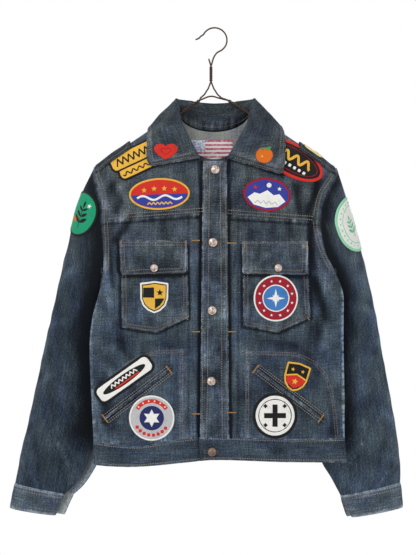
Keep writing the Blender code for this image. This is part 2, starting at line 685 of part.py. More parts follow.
def build_waistband():
    """The band runs from the left front's edge round the back to an end under the left front."""
    half = SEAM_GAP / 2
    across, behind = column_shares(FRONT), column_shares(BACK)
    start_x = PLACKET_LEFT[1][0]
    dip = UNDERLAP_DEPTH + BAND.high
    left = [share for share in across if edge_x(share, BAND_Z) > start_x + BAND_CLEAR]
    right = [share for share in across if edge_x(share, BAND_Z) < start_x - BAND_CLEAR]
    stops = [(FRONT, None, start_x, 0.0)]
    stops += [(FRONT, share, None, 0.0) for share in left]
    stops += [(BACK, share, None, 0.0) for share in behind[-2::-1]]
    stops += [(FRONT, share, None, 0.0) for share in right[1:]]
    stops += [(FRONT, None, start_x - 6, 0.0), (FRONT, None, start_x - 1.5, dip)]
    stops += [(FRONT, None, UNDERLAP_X, dip)]

    def point_of(i, j):
        side, share, x, inward = stops[i]
        z = BAND_Z
        for _ in range(SETTLE):
            at = edge_x(share, z) if x is None else x
            low, high = level("hem", at), level("waist", at) - half
            z = high + (low - high) * BAND_SHARES[j]
        point = torso_point(side, at, z)
        if share is not None and abs(share) > 1 - MERGE:
            point.y = SIDE_SEAM_Y
        point.y += inward
        return point

    band = new_surface(len(stops) - 1, len(BAND_SHARES) - 1, point_of)
    turn_outward(band, lambda place, outward: place[0] * outward[0] + place[1] * outward[1] > 0)
    finish("waistband", walled(band, BAND), "denim")


# ---------------------------------------------------------------- sleeves
def armhole_loop(front, back, sign):
    """Points and directions round the armhole: shoulder, down the front, up the back."""
    loops = []
    for surface in (front, back):
        placed = surface.verts.layers.float_vector["placed"]
        outward = surface.verts.layers.float_vector["outward"]
        edge = []
        for vert in surface.verts:
            place = Vector(vert[placed])
            on_edge = abs(place.x - edge_x(sign, place.z)) < MERGE
            if on_edge and place.z > ARMPIT_Z - ARMPIT_REACH:
                inner = min(
                    (e.other_vert(vert) for e in vert.link_edges),
                    key=lambda v: sign * v[placed][0] + abs(v[placed][2] - place.z) * 3,
                )
                away = (place - Vector(inner[placed])).normalized()
                edge.append((place + away * ARMHOLE_GAP, Vector(vert[outward])))
        edge.sort(key=lambda item: -item[0].z)
        loops.append(edge)
    ahead, behind = loops
    top = ((ahead[0][0] + behind[0][0]) / 2, (ahead[0][1] + behind[0][1]).normalized())
    low_place = (ahead[-1][0] + behind[-1][0]) / 2 + Vector((sign * ARMPIT_OUT, 0, ARMPIT_UP))
    low = (low_place, Vector((sign, 0, 0)))
    return [low, *behind[-2:0:-1], top, *ahead[1:-1], low]


def sleeve_angles(loop):
    """Turn of each point round the sleeve: 0 at the outer edge, -180 and 180 under the arm."""
    middle = (len(loop) - 1) // 2
    back = [0.0]
    for n in range(middle, 0, -1):
        back.append(back[-1] + (loop[n][0] - loop[n - 1][0]).length)
    ahead = [0.0]
    for n in range(middle, len(loop) - 1):
        ahead.append(ahead[-1] + (loop[n][0] - loop[n + 1][0]).length)
    return [-180 * a / back[-1] for a in reversed(back)] + [180 * a / ahead[-1] for a in ahead[1:]]


def ring_point(rows, ring, turn):
    """A point on a sleeve's or cuff's elliptic ring; a positive turn is on the front."""
    outer = Vector((smooth(rows, "ring", "outer_x", ring), 0, smooth(rows, "ring", "outer_z", ring)))
    inner = Vector((smooth(rows, "ring", "inner_x", ring), 0, smooth(rows, "ring", "inner_z", ring)))
    depth = smooth(rows, "ring", "depth", ring)
    behind = smooth(rows, "ring", "behind", ring)
    angle = math.radians(turn)
    point = (outer + inner) / 2 + (outer - inner) / 2 * math.cos(angle)
    point.y = behind - depth * math.sin(angle)
    return point


def ring_centre(rows, ring):
    return (ring_point(rows, ring, 0) + ring_point(rows, ring, 180)) / 2


def sleeve_fold(ring, turn, sign):
    """Height of a sleeve's folds; those of the left sleeve run the other way round."""
    total = 0.0
    for fold in SLEEVE_FOLDS:
        start = Vector((fold.ring0 * RING_STEP, fold.turn0 * DEGREE_STEP * sign))
        along = Vector((fold.ring1 * RING_STEP, fold.turn1 * DEGREE_STEP * sign)) - start
        point = Vector((ring * RING_STEP, turn * DEGREE_STEP)) - start
        share = min(max(point.dot(along) / along.length_squared, 0.0), 1.0)
        away = (point - along * share).length / fold.width
        if away < 1:
            total += fold.height * (1 - away**2) ** 2
    return total


def slit_shift(ring, turn, sign):
    """The open slit of a cuff: its back half stands out past the front half."""
    share = min(max((ring - SLIT_TOP_RING) / SLIT_RINGS, 0.0), 1.0)
    share *= max(0.0, 1 - abs(180 - abs(turn)) / SLIT_TURN)
    if turn > 0:
        return Vector((0, -SLIT_DEPTH * share, 0))
    return Vector((-sign * SLIT_SPREAD * share, SLIT_DEPTH * share, 0))


def clear_of_body(place, sign):
    """A sleeve's point kept off the torso: beside it above the armpit, behind it below."""
    inside = (edge_x(sign, place.z) - place.x) * sign + SLEEVE_CLEARANCE
    if inside <= 0:
        return place
    if place.z > ARMPIT_Z:
        return place + Vector((sign * inside, 0, 0))
    behind = torso_y(BACK, place.x, place.z) + SLEEVE_CLEARANCE
    return Vector((place.x, max(place.y, behind), place.z))


def sleeve_surface(rows, loop, sign, open_slit):
    """An open strip round the arm, from under the arm over the outer edge and back."""
    turns = sleeve_angles(loop)

    def point_of(i, j):
        ring = SLEEVE_STOPS[j]
        place = ring_point(rows, ring, turns[i])
        fade = max(0.0, 1 - ring / ARMHOLE_FADE) ** 2
        place += (loop[i][0] - ring_point(rows, 0, turns[i])) * fade
        if ring > 1:
            centre = ring_centre(rows, ring)
            rim = math.sqrt(max(0.0, 1 - abs(turns[i]) / 180))
            place += (place - centre).normalized() * sleeve_fold(ring, turns[i], sign) * rim
        if open_slit:
            place += slit_shift(ring, turns[i], sign)
        return place if ring == 0 else clear_of_body(place, sign)

    places = [[point_of(i, j) for j in range(len(SLEEVE_STOPS))] for i in range(len(loop))]
    outer = (len(loop) - 1) // 2

    def flat_of(i, j):
        """The level distance round from the sleeve's outer edge, and the height."""
        step = 1 if i > outer else -1
        around = 0.0
        for n in range(outer, i, step):
            around += step * (places[n][j] - places[n + step][j]).xy.length
        return around, places[i][j].z

    surface = new_surface(
        len(loop) - 1, len(SLEEVE_STOPS) - 1, lambda i, j: places[i][j], flat_of
    )

    def looks_out(place, outward):
        ring = min(SLEEVE_STOPS, key=lambda r: abs(ring_centre(rows, r).z - place[2]))
        return (Vector(place) - ring_centre(rows, ring)).dot(Vector(outward)) > 0

    turn_outward(surface, looks_out)
    placed = surface.verts.layers.float_vector["placed"]
    outward = surface.verts.layers.float_vector["outward"]
    for vert in surface.verts:
        place, direction = min(loop, key=lambda item: (item[0] - Vector(vert[placed])).length)
        if (place - Vector(vert[placed])).length < MERGE:
            vert[outward] = direction
    return surface


def closed_tube(surface):
    """A copy of a strip whose two long edges are joined wherever they lie together."""
    tube = surface.copy()
    placed = tube.verts.layers.float_vector["placed"]
    outward = tube.verts.layers.float_vector["outward"]
    for vert in tube.verts:
        vert.co = vert[placed]
    targets = {}
    edge = [vert for vert in tube.verts if vert.is_boundary]
    for n, vert in enumerate(edge):
        for other in edge[n + 1:]:
            if (vert.co - other.co).length < MERGE and vert not in targets:
                targets[other] = vert
                total = Vector(vert[outward]) + Vector(other[outward])
                vert[outward] = total.normalized()
    bmesh.ops.weld_verts(tube, targetmap=targets)
    return tube


def build_sleeve(name, rows, loop, sign, open_slit):
    surface = sleeve_surface(rows, loop, sign, open_slit)
    finish(name, walled(closed_tube(surface), PANEL), "denim")
    return surface


def build_cuff(name, rows, turns, sign, open_slit):
    """A strip round the wrist whose ends stay apart, and further apart on the open cuff."""
    ends = [min(abs(turn), 180 - CUFF_END) for turn in turns]
    cuff_turns = [math.copysign(end, turn) for end, turn in zip(ends, turns)]
    last = SLEEVE_STOPS[-1]

    def point_of(i, j):
        place = ring_point(rows, j, cuff_turns[i])
        spread = 1.0 if open_slit else j / (len(rows) - 1) * CLOSED_SPREAD / SLIT_SPREAD
        return place + slit_shift(last, cuff_turns[i], sign) * spread

    cuff = new_surface(len(turns) - 1, len(rows) - 1, point_of)

    def looks_out(place, outward):
        return (Vector(place) - ring_centre(rows, 1)).dot(Vector(outward)) > 0

    turn_outward(cuff, looks_out)
    finish(name, walled(cuff, CUFF), "denim")


# ---------------------------------------------------------------- collar
def collar_profile(at):
    """Points across the collar at one station: seam, stand, fold, leaf and outer edge."""
    value = {name: smooth(COLLAR, "at", name, at) for name in Station._fields[1:]}
    side = BACK if value["side"] > -0.5 else FRONT
    facing = math.radians(value["facing"])
    out = Vector((-math.sin(facing), -math.cos(facing), 0))
    weight = math.cos(facing)

    def on_torso(x, z, off):
        ahead, behind = torso_y(FRONT, x, z) - off, torso_y(BACK, x, z) + off
        y = ahead if side == FRONT else behind
        return Vector((x, y, z))

    seam = on_torso(value["seam_x"], value["seam_z"], 0)
    fold = on_torso(value["fold_x"], value["fold_z"], value["fold_off"])
    edge = on_torso(value["edge_x"], value["edge_z"], value["edge_off"])
    drop = Vector((0, 0, -5))
    top = fold + out * COLLAR_FOLD_GAP / 2
    leaf = fold + out * COLLAR_FOLD_GAP + drop * (0.6 - 0.4 * weight)
    middle = (leaf + edge) / 2
    if abs(at - 9) > 4.5:
        clear = on_torso(middle.x, middle.z, LEAF_OFF)
        middle.y = min(middle.y, clear.y)
    else:
        middle += out * 4
    near_top = fold + Vector((0, 0, -3))
    near_top += (seam - near_top) * 0.15
    return [seam, (seam + near_top) / 2, near_top, top, leaf, middle, edge]


def build_collar():
    steps = (len(COLLAR) - 1) * COLLAR_STEPS
    profiles = [collar_profile(n / COLLAR_STEPS) for n in range(steps + 1)]
    surface = new_surface(steps, len(profiles[0]) - 1, lambda i, j: profiles[i][j])

    placed = surface.verts.layers.float_vector["placed"]
    outward = surface.verts.layers.float_vector["outward"]
    leaf = [v for v in surface.verts if abs(v[placed][0]) > LEAF_X and v[placed][1] < LEAF_Y]
    if sum(v[outward][1] for v in leaf) > 0:
        for vert in surface.verts:
            vert[outward] = -Vector(vert[outward])
    finish("collar", walled(surface.copy(), PANEL), "denim")
    hidden = [vert for vert in surface.verts if vert[placed][1] > LEAF_Y]
    bmesh.ops.delete(surface, geom=hidden, context="VERTS")
    return surface


# ---------------------------------------------------------------- epaulets, buttons, patches
def build_epaulet(item):
    """A strap over the shoulder's crown, standing a little off it."""
    count = len(EPAULET_DROPS) - 1

    def point_of(i, j):
        x = item.outer_x + (item.inner_x - item.outer_x) * i / EPAULET_STEPS
        drop = EPAULET_DROPS[j]
        side = FRONT if drop < 0 else BACK
        z = shoulder_z(x) - abs(drop)
        point = torso_point(side, x, z)
        if drop == 0:
            point.y = 0
        return point

    places = [[point_of(i, j) for j in range(count + 1)] for i in range(EPAULET_STEPS + 1)]

    def flat_of(i, j):
        middle = EPAULET_DROPS.index(0)
        step = 1 if j > middle else -1
        total = 0.0
        for n in range(middle, j, step):
            total += step * (places[i][n] - places[i][n + step]).length
        return places[i][j].x, total

    surface = new_surface(EPAULET_STEPS, count, lambda i, j: places[i][j], flat_of)
    turn_outward(surface, lambda place, outward: outward[2] > 0)
    placed = surface.verts.layers.float_vector["placed"]
    outward = surface.verts.layers.float_vector["outward"]
    for vert in surface.verts:
        if abs(vert.co.x - item.outer_x) < MERGE:
            vert[placed] = Vector(vert[placed]) - Vector(vert[outward]) * EPAULET_SEAT
    finish(item.name, walled(surface.copy(), EPAULET_LIFT), "denim")
    for vert in surface.verts:
        vert[placed] = Vector(vert[placed]) + Vector(vert[outward]) * EPAULET_LIFT.high
    return surface


def build_button(item):
    """A domed tack button: a turned profile, set on the cloth under it."""
    here = torso_point(FRONT, item.x, item.z)
    right = torso_point(FRONT, item.x + TILT_REACH, item.z) - here
    up = torso_point(FRONT, item.x, item.z + TILT_REACH) - here
    away = right.cross(up).normalized()
    if away.y > 0:
        away = -away
    mesh = bmesh.new()
    chain = [mesh.verts.new((a * item.radius, 0, b * BUTTON_HEIGHT)) for a, b in BUTTON_PROFILE]
    edges = [mesh.edges.new(pair) for pair in zip(chain, chain[1:])]
    bmesh.ops.spin(
        mesh, geom=chain + edges, cent=(0, 0, 0), axis=(0, 0, 1),
        angle=2 * math.pi, steps=BUTTON_STEPS, use_merge=True,
    )
    bmesh.ops.remove_doubles(mesh, verts=mesh.verts[:], dist=MERGE)
    bmesh.ops.recalc_face_normals(mesh, faces=mesh.faces[:])
    turn = Vector((0, 0, 1)).rotation_difference(away).to_matrix()
    bmesh.ops.rotate(mesh, verts=mesh.verts[:], matrix=turn)
    bmesh.ops.translate(mesh, verts=mesh.verts[:], vec=here + away * (item.lift + BUTTON_SEAT))
    finish(item.name, mesh, "copper")


def build_heart(collar):
    halves = [trim(collar, heart_half(HEART, side)) for side in (-1, 1)]
    data = bpy.data.meshes.new("heart_half")
    halves[1].to_mesh(data)
    halves[0].from_mesh(data)
    bpy.data.meshes.remove(data)
    bmesh.ops.remove_doubles(halves[0], verts=halves[0].verts[:], dist=MERGE)
    finish(HEART.name, walled(halves[0], HEART.layer), HEART.colour)


def build_sewn_pieces(surfaces):
    for item in POLYGONS:
        sew(item.name, surfaces[item.surface], list(item.corners), item.layer, item.colour)
    shapes = ((ROUNDS, ellipse_outline), (SHIELDS, shield_outline), (BARS, bar_outline))
    for table, outline in shapes:
        for item in table:
            sew(item.name, surfaces[item.surface], outline(item), item.layer, item.colour)
    build_heart(surfaces["collar"])


# ---------------------------------------------------------------- hanger
def helix(start, end, turns, phase):
    """Points of one strand of a twisted pair round the line from start to end."""
    along = end - start
    across = Vector((0, 1, 0))
    aside = along.cross(across).normalized()
    count = int(turns * TURN_POINTS)
    points = []
    for n in range(count + 1):
        angle = 2 * math.pi * turns * n / count + phase
        offset = across * math.cos(angle) + aside * math.sin(angle)
        points.append(start + along * n / count + offset * TWIST_RADIUS)
    return points


def arm_axis(sign, x):
    """The line that the twisted arm follows, under the shoulder's crown."""
    return Vector((sign * x, 0, shoulder_z(x) - ARM_BELOW))


def arm_strand(sign, phase):
    start = Vector((sign * ARM_TWIST_X, 0, ARM_TWIST_Z))
    end = arm_axis(sign, ARM_STRAIGHT_X) + ARM_NECK_DIP
    points = helix(start, end, ARM_TURNS, phase)
    offset = points[-1] - end
    return points + [arm_axis(sign, ARM_END_X) + offset]


def add_wire(name, points):
    curve = bpy.data.curves.new(name, "CURVE")
    curve.dimensions = "3D"
    curve.bevel_depth = WIRE * MM
    curve.bevel_resolution = 2
    curve.render_resolution_u = 0
    curve.use_fill_caps = True
    spline = curve.splines.new("POLY")
    spline.points.add(len(points) - 1)
    for target, point in zip(spline.points, points):
        target.co = (point.x * MM, point.y * MM, point.z * MM, 1)
    place_object(name, curve, "wire")


def build_hanger():
    """Three wires: one is the hook and the right arm, one the left arm, one braces both."""
    crown = []
    for n in range(HOOK_STEPS + 1):
        angle = math.radians(HOOK_FROM + (HOOK_TO - HOOK_FROM) * n / HOOK_STEPS)
        point = HOOK_CENTRE + Vector((math.cos(angle), 0, math.sin(angle))) * HOOK_RADIUS
        if point.x > HOOK_LEFT_X:
            crown.append(point)
    top, low = Vector((SHANK_X, 0, NECK_TWIST_TOP)), Vector((SHANK_X, 0, NECK_TWIST_LOW))
    fork = {sign: [Vector((SHANK_X + sign * p.x, 0, p.z)) for p in FORK] for sign in (-1, 1)}
    hook = [*HOOK_TIP, *crown, *SHANK, *helix(top, low, NECK_TURNS, 0.0)]
    add_wire("hanger_hook_wire", hook + fork[-1] + arm_strand(-1, 0.0))
    arm = [*FREE_END, *helix(top, low, NECK_TURNS, math.pi)]
    add_wire("hanger_arm_wire", arm + fork[1] + arm_strand(1, math.pi))
    brace = [*arm_strand(-1, math.pi)[::-1], *BRACE_ARC, *arm_strand(1, 0.0)]
    add_wire("hanger_brace_wire", brace)


def main():
    for thing in list(bpy.data.objects):
        bpy.data.objects.remove(thing)
    jacket = bpy.data.collections.new("patched_denim_jacket")
    bpy.context.scene.collection.children.link(jacket)
    front, back = torso_surface(FRONT), torso_surface(BACK)
    build_torso(front, back)
    build_waistband()
    surfaces = {"front": front}
    for name, rows, cuff, sign in (
        ("right", SLEEVE_RIGHT, CUFF_RIGHT, -1), ("left", SLEEVE_LEFT, CUFF_LEFT, 1)
    ):
        loop = armhole_loop(front, back, sign)
        is_open = name == "right"
        surfaces[f"sleeve_{name}"] = build_sleeve(f"sleeve_{name}", rows, loop, sign, is_open)
        build_cuff(f"cuff_{name}", cuff, sleeve_angles(loop), sign, is_open)
    surfaces["collar"] = build_collar()
    for item in EPAULETS:
        surfaces[item.name] = build_epaulet(item)
    build_sewn_pieces(surfaces)
    for item in BUTTONS:
        build_button(item)
    build_hanger()


main()
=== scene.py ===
"""A patched denim jacket on a twisted wire hanger, dressed for the eye.

Sizes are in millimetres and become metres when a mesh is made. X runs across the jacket (the
wearer's left is +X), Y from the front (-Y) to the back and Z up, with the origin inside the crown
of the hanger's hook. The body, sleeves and collar are worked out from the same tables as the
jacket's solids. Pockets, flaps, patches and stitches are cut in the flat and laid on the cloth.
"""

from __future__ import annotations

import logging
import math
from collections.abc import Callable, Sequence
from dataclasses import dataclass, field
from enum import Enum

import bmesh
import bpy
import numpy as np
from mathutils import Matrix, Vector
from mathutils.bvhtree import BVHTree

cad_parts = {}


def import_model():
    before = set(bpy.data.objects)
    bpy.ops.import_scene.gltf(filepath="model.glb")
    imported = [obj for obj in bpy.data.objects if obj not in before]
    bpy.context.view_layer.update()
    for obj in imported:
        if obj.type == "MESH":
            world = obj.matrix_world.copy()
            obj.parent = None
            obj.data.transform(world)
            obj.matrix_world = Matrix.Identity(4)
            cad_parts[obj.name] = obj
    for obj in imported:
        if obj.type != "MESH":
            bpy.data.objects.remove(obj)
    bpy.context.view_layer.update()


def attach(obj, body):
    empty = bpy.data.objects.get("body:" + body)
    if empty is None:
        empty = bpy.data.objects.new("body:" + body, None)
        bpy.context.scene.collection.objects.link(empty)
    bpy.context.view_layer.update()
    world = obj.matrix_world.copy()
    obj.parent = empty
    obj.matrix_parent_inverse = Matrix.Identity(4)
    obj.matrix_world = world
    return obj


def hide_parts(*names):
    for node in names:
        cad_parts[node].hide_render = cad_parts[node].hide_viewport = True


log = logging.getLogger("patched_jacket")

MM = 0.001
Array = np.ndarray
Colour = tuple[float, float, float]
Outline = list[tuple[float, float]]
Edge = Callable[[Array], Array]


class Side(Enum):
    """The two sides of the body."""

    FRONT = -1
    BACK = 1


# ------------------------------------------------------------------ numbers
def ease(share: Array) -> Array:
    """Smooth step from 0 to 1, flat outside."""
    share = np.clip(share, 0.0, 1.0)
    return share * share * (3 - 2 * share)


def quarter(share: Array) -> Array:
    """Quarter circle: 0 at 0, rising steeply to 1 at 1 and beyond."""
    return np.sqrt(np.maximum(0.0, 1 - (1 - np.clip(share, 0.0, 1.0)) ** 2))


def blend(first: Array, second: Array, share: Array) -> Array:
    """The value between first and second at a share."""
    return first + (second - first) * share


def hump(away: Array, width: float) -> Array:
    """A soft hump: 1 at no distance, nearly nothing two widths away."""
    return np.exp(-((away / width) ** 2))


def ripple(x: Array, y: Array, seed: int = 0) -> Array:
    """Smooth uneven noise between about -1 and 1.

    Args:
        x: places across, in cells of the noise.
        y: places down, in cells of the noise.
        seed: picks one of many patterns.

    Returns:
        The noise at each place.
    """
    x, y = np.broadcast_arrays(np.asarray(x, float), np.asarray(y, float))
    cell_x, cell_y = np.floor(x).astype(np.int64), np.floor(y).astype(np.int64)
    part_x, part_y = x - cell_x, y - cell_y
    ease_x = part_x**3 * (part_x * (part_x * 6 - 15) + 10)
    ease_y = part_y**3 * (part_y * (part_y * 6 - 15) + 10)

    def corner(step_x: int, step_y: int) -> Array:
        """The slope of one corner of the cell, read at the place."""
        mixed = (cell_x + step_x) * 73856093 ^ (cell_y + step_y) * 19349663 ^ seed * 83492791
        mixed = (mixed * 1103515245 + 12345) & 0x7FFFFFFF
        mixed = ((mixed >> 7) * 214013 + 2531011) & 0x7FFFFFFF
        angle = mixed * (2 * math.pi / 0x7FFFFFFF)
        return np.cos(angle) * (part_x - step_x) + np.sin(angle) * (part_y - step_y)

    low = blend(corner(0, 0), corner(1, 0), ease_x)
    high = blend(corner(0, 1), corner(1, 1), ease_x)
    return blend(low, high, ease_y) * 1.5


class Table:
    """Rows of sizes with named columns, read on a smooth curve through the rows."""

    def __init__(self, columns: str, *rows: tuple[float, ...]) -> None:
        """Takes the columns' names in one string and a tuple of numbers for each row."""
        self.names = columns.split()
        data = np.array(rows, dtype=float)
        self.data = data[np.argsort(data[:, 0])]

    @classmethod
    def numbered(cls, columns: str, *rows: tuple[float, ...]) -> Table:
        """A table whose first column is the number of the row, from 0."""
        return cls("number " + columns, *((n, *row) for n, row in enumerate(rows)))

    def read(self, name: str, place: Array) -> Array:
        """The column called name where the first column reaches place."""
        keys, values = self.data[:, 0], self.data[:, self.names.index(name)]
        place = np.clip(np.asarray(place, float), keys[0], keys[-1])
        i = np.clip(np.searchsorted(keys, place, side="right") - 1, 0, len(keys) - 2)
        low = np.maximum(np.arange(len(keys)) - 1, 0)
        high = np.minimum(np.arange(len(keys)) + 1, len(keys) - 1)
        slopes = (values[high] - values[low]) / (keys[high] - keys[low])
        span = keys[i + 1] - keys[i]
        t = (place - keys[i]) / span
        return (
            (2 * t**3 - 3 * t**2 + 1) * values[i]
            + (t**3 - 2 * t**2 + t) * span * slopes[i]
            + (3 * t**2 - 2 * t**3) * values[i + 1]
            + (t**3 - t**2) * span * slopes[i + 1]
        )


@dataclass(frozen=True)
class Crease:
    """A soft ridge, or a trough where height is negative, along a bowed line in the flat."""

    x0: float
    z0: float
    x1: float
    z1: float
    bow: float
    width: float
    height: float

    def mirrored(self) -> Crease:
        """The same crease on the other arm, a little lower and softer."""
        return Crease(-self.x0, self.z0 - 14, -self.x1, self.z1 - 6, -self.bow, self.width,
                      self.height * 0.9)

    def lift(self, x: Array, z: Array) -> Array:
        """How far the crease lifts the cloth at flat places: a ridge with a hollow beside it."""
        along_x, along_z = self.x1 - self.x0, self.z1 - self.z0
        length = math.hypot(along_x, along_z)
        share = ((x - self.x0) * along_x + (z - self.z0) * along_z) / length**2
        aside = ((x - self.x0) * along_z - (z - self.z0) * along_x) / length
        far = (aside - self.bow * 4 * share * (1 - share)) / self.width
        ends = ease(np.minimum(share, 1 - share) / 0.4)
        return self.height * ends * (np.exp(-2.2 * far**2) - 0.45 * np.exp(-3.0 * (far - 1.1) ** 2))


def creased(creases: Sequence[Crease], x: Array, z: Array) -> Array:
    """The lift of all the creases together."""
    return sum((crease.lift(x, z) for crease in creases), np.zeros_like(np.asarray(x, float)))


def far_from(points: Outline, x: Array, z: Array) -> tuple[Array, Array]:
    """The distance of flat places from a line of points, and how far along it they lie."""
    best = np.full(np.shape(x), 1e9)
    along_line = np.zeros(np.shape(x))
    walked = 0.0
    for (x0, z0), (x1, z1) in zip(points, points[1:]):
        length = math.hypot(x1 - x0, z1 - z0)
        share = ((x - x0) * (x1 - x0) + (z - z0) * (z1 - z0)) / length**2
        share = np.clip(share, 0.0, 1.0)
        away = np.hypot(x - x0 - (x1 - x0) * share, z - z0 - (z1 - z0) * share)
        nearer = away < best
        best = np.where(nearer, away, best)
        along_line = np.where(nearer, walked + share * length, along_line)
        walked += length
    return best, along_line


@dataclass(frozen=True)
class SeamOrShadowLine:
    """A sewn line in the flat, which puckers the cloth and wears pale along its ridge; one whose fading
    is negative is a painted shadow line instead.
    """

    points: Outline
    wear: float = 0.5
    pucker: float = 0.5
    reach: float = 5.0

    def lift(self, x: Array, z: Array) -> Array:
        """The puckers beside the seam."""
        away, along = far_from(self.points, x, z)
        near = hump(away, self.reach * 1.5)
        return self.pucker * near * (0.5 + ripple(along / 9, away / 14, 5))

    def paleness_and_shade(self, x: Array, z: Array) -> Array:
        """How far the sewn line has faded the cloth pale, in dashes; where negative, a solid painted
        shadow line instead.
        """
        away, along = far_from(self.points, x, z)
        near = hump(away, self.reach)
        dashes = 0.9 * ripple(along / 7, away / 9, 5) if self.wear > 0 else 0.5
        return self.wear * near * (0.45 + dashes)


def blued(z: Array) -> Array:
    """How far the cloth has kept its blue: nothing on the yokes, all of it below the flaps."""
    return ease((-330 - z) / 160)


# ------------------------------------------------------------------ shaders
class Sock:
    """A shader socket that takes part in Python sums."""

    def __init__(self, shader: Shader, socket: bpy.types.NodeSocket) -> None:
        """Wraps one output socket of a shader."""
        self.shader = shader
        self.socket = socket

    def math(self, operation: str, *others: Sock | float) -> Sock:
        """A Math node on this socket and others."""
        return self.shader.math(operation, self, *others)

    def __add__(self, other: Sock | float) -> Sock:
        """Sum."""
        return self.math("ADD", other)

    def __radd__(self, other: float) -> Sock:
        """Sum with a number first."""
        return self.math("ADD", other)

    def __sub__(self, other: Sock | float) -> Sock:
        """Difference."""
        return self.math("SUBTRACT", other)

    def __rsub__(self, other: float) -> Sock:
        """Difference from a number."""
        return self.shader.math("SUBTRACT", other, self)

    def __mul__(self, other: Sock | float) -> Sock:
        """Product."""
        return self.math("MULTIPLY", other)

    def __rmul__(self, other: float) -> Sock:
        """Product with a number first."""
        return self.math("MULTIPLY", other)

    def sine(self) -> Sock:
        """Sine of the value in radians."""
        return self.math("SINE")

    def between(self, low: float, high: float) -> Sock:
        """0 below low, 1 above high, smooth between them."""
        settings = {"interpolation_type": "SMOOTHSTEP"}
        values = {"Value": self, "From Min": low, "From Max": high}
        return self.shader.node("ShaderNodeMapRange", settings, values, "Result")


class Shader:
    """One material and the nodes that make it."""

    def __init__(self, name: str) -> None:
        """Starts a material with a Principled surface."""
        self.material = bpy.data.materials.new(name)
        self.material.use_nodes = True
        self.tree = self.material.node_tree
        self.surface = self.tree.nodes["Principled BSDF"]

    def node(
        self,
        kind: str,
        settings: dict | None = None,
        values: dict | None = None,
        output: str | int = 0,
        stops: Sequence[tuple[float, Colour]] = (),
    ) -> Sock:
        """Adds a node.

        Args:
            kind: the node's type.
            settings: its settings, which are set first.
            values: a number, colour or socket for each named or numbered input.
            output: the output that is wanted.
            stops: the places and colours of a ramp.

        Returns:
            The wanted output.
        """
        made = self.tree.nodes.new(kind)
        for name, value in (settings or {}).items():
            setattr(made, name, value)
        if stops:
            ramp = made.color_ramp
            while len(ramp.elements) < len(stops):
                ramp.elements.new(1.0)
            for element, (place, colour) in zip(ramp.elements, stops):
                element.position, element.color = place, (*colour, 1.0)
        for name, value in (values or {}).items():
            self.put(made.inputs[name], value)
        return Sock(self, made.outputs[output])

    def put(self, target: bpy.types.NodeSocket, value: object) -> None:
        """Links a socket to an input, or writes a number or colour on it."""
        if isinstance(value, Sock):
            self.tree.links.new(value.socket, target)
        elif isinstance(value, tuple) and len(value) == 3 and target.type == "RGBA":
            target.default_value = (*value, 1.0)
        else:
            target.default_value = value

    def math(self, operation: str, *values: Sock | float) -> Sock:
        """A Math node on sockets and numbers."""
        return self.node("ShaderNodeMath", {"operation": operation}, dict(enumerate(values)))

    def noise(self, place: Sock, size: tuple[float, float, float], detail: float = 2.0) -> Sock:
        """Noise whose grains have a size in metres along each axis, from 0 to 1."""
        scale = tuple(1 / step for step in size)
        spread = self.node("ShaderNodeMapping", None, {"Vector": place, "Scale": scale})
        values = {"Vector": spread, "Scale": 1.0, "Detail": detail, "Roughness": 0.6}
        return self.node("ShaderNodeTexNoise", None, values, "Fac")

    def mixed(self, share: Sock | float, first: Sock | Colour, second: Sock | Colour,
              way: str = "MIX") -> Sock:
        """A Mix node on colours."""
        settings = {"data_type": "RGBA", "blend_type": way}
        return self.node("ShaderNodeMix", settings, {0: share, 6: first, 7: second}, 2)

    def cloth_map(self) -> Sock:
        """The place on the flat cloth, in metres."""
        return self.node("ShaderNodeUVMap", {"uv_map": "Cloth"})

    def place(self) -> Sock:
        """The place in the object, in metres."""
        return self.node("ShaderNodeTexCoord", None, None, "Object")

    def parts(self, place: Sock) -> list[Sock]:
        """The X, Y and Z of a place."""
        split = self.node("ShaderNodeSeparateXYZ", None, {"Vector": place})
        return [Sock(self, output) for output in split.socket.node.outputs]

    def attribute(self, name: str, output: str = "Fac") -> Sock:
        """What was stored on the mesh under a name."""
        return self.node("ShaderNodeAttribute", {"attribute_name": name}, None, output)

    def finish(self, colour: Sock | Colour, roughness: Sock | float, metal: float = 0.0,
               height: Sock | None = None, depth: float = 0.0002) -> bpy.types.Material:
        """Joins the surface's sockets and gives the material.

        Args:
            colour: the base colour.
            roughness: the roughness.
            metal: 1 for bare metal.
            height: the relief, from 0 to 1.
            depth: how deep the relief is, in metres.

        Returns:
            The finished material.
        """
        self.put(self.surface.inputs["Base Color"], colour)
        self.put(self.surface.inputs["Roughness"], roughness)
        self.surface.inputs["Metallic"].default_value = metal
        self.surface.inputs["Specular IOR Level"].default_value = 0.5 if metal else 0.2
        if height is not None:
            values = {"Height": height, "Distance": depth, "Strength": 1.0}
            self.put(self.surface.inputs["Normal"], self.node("ShaderNodeBump", None, values))
        return self.material


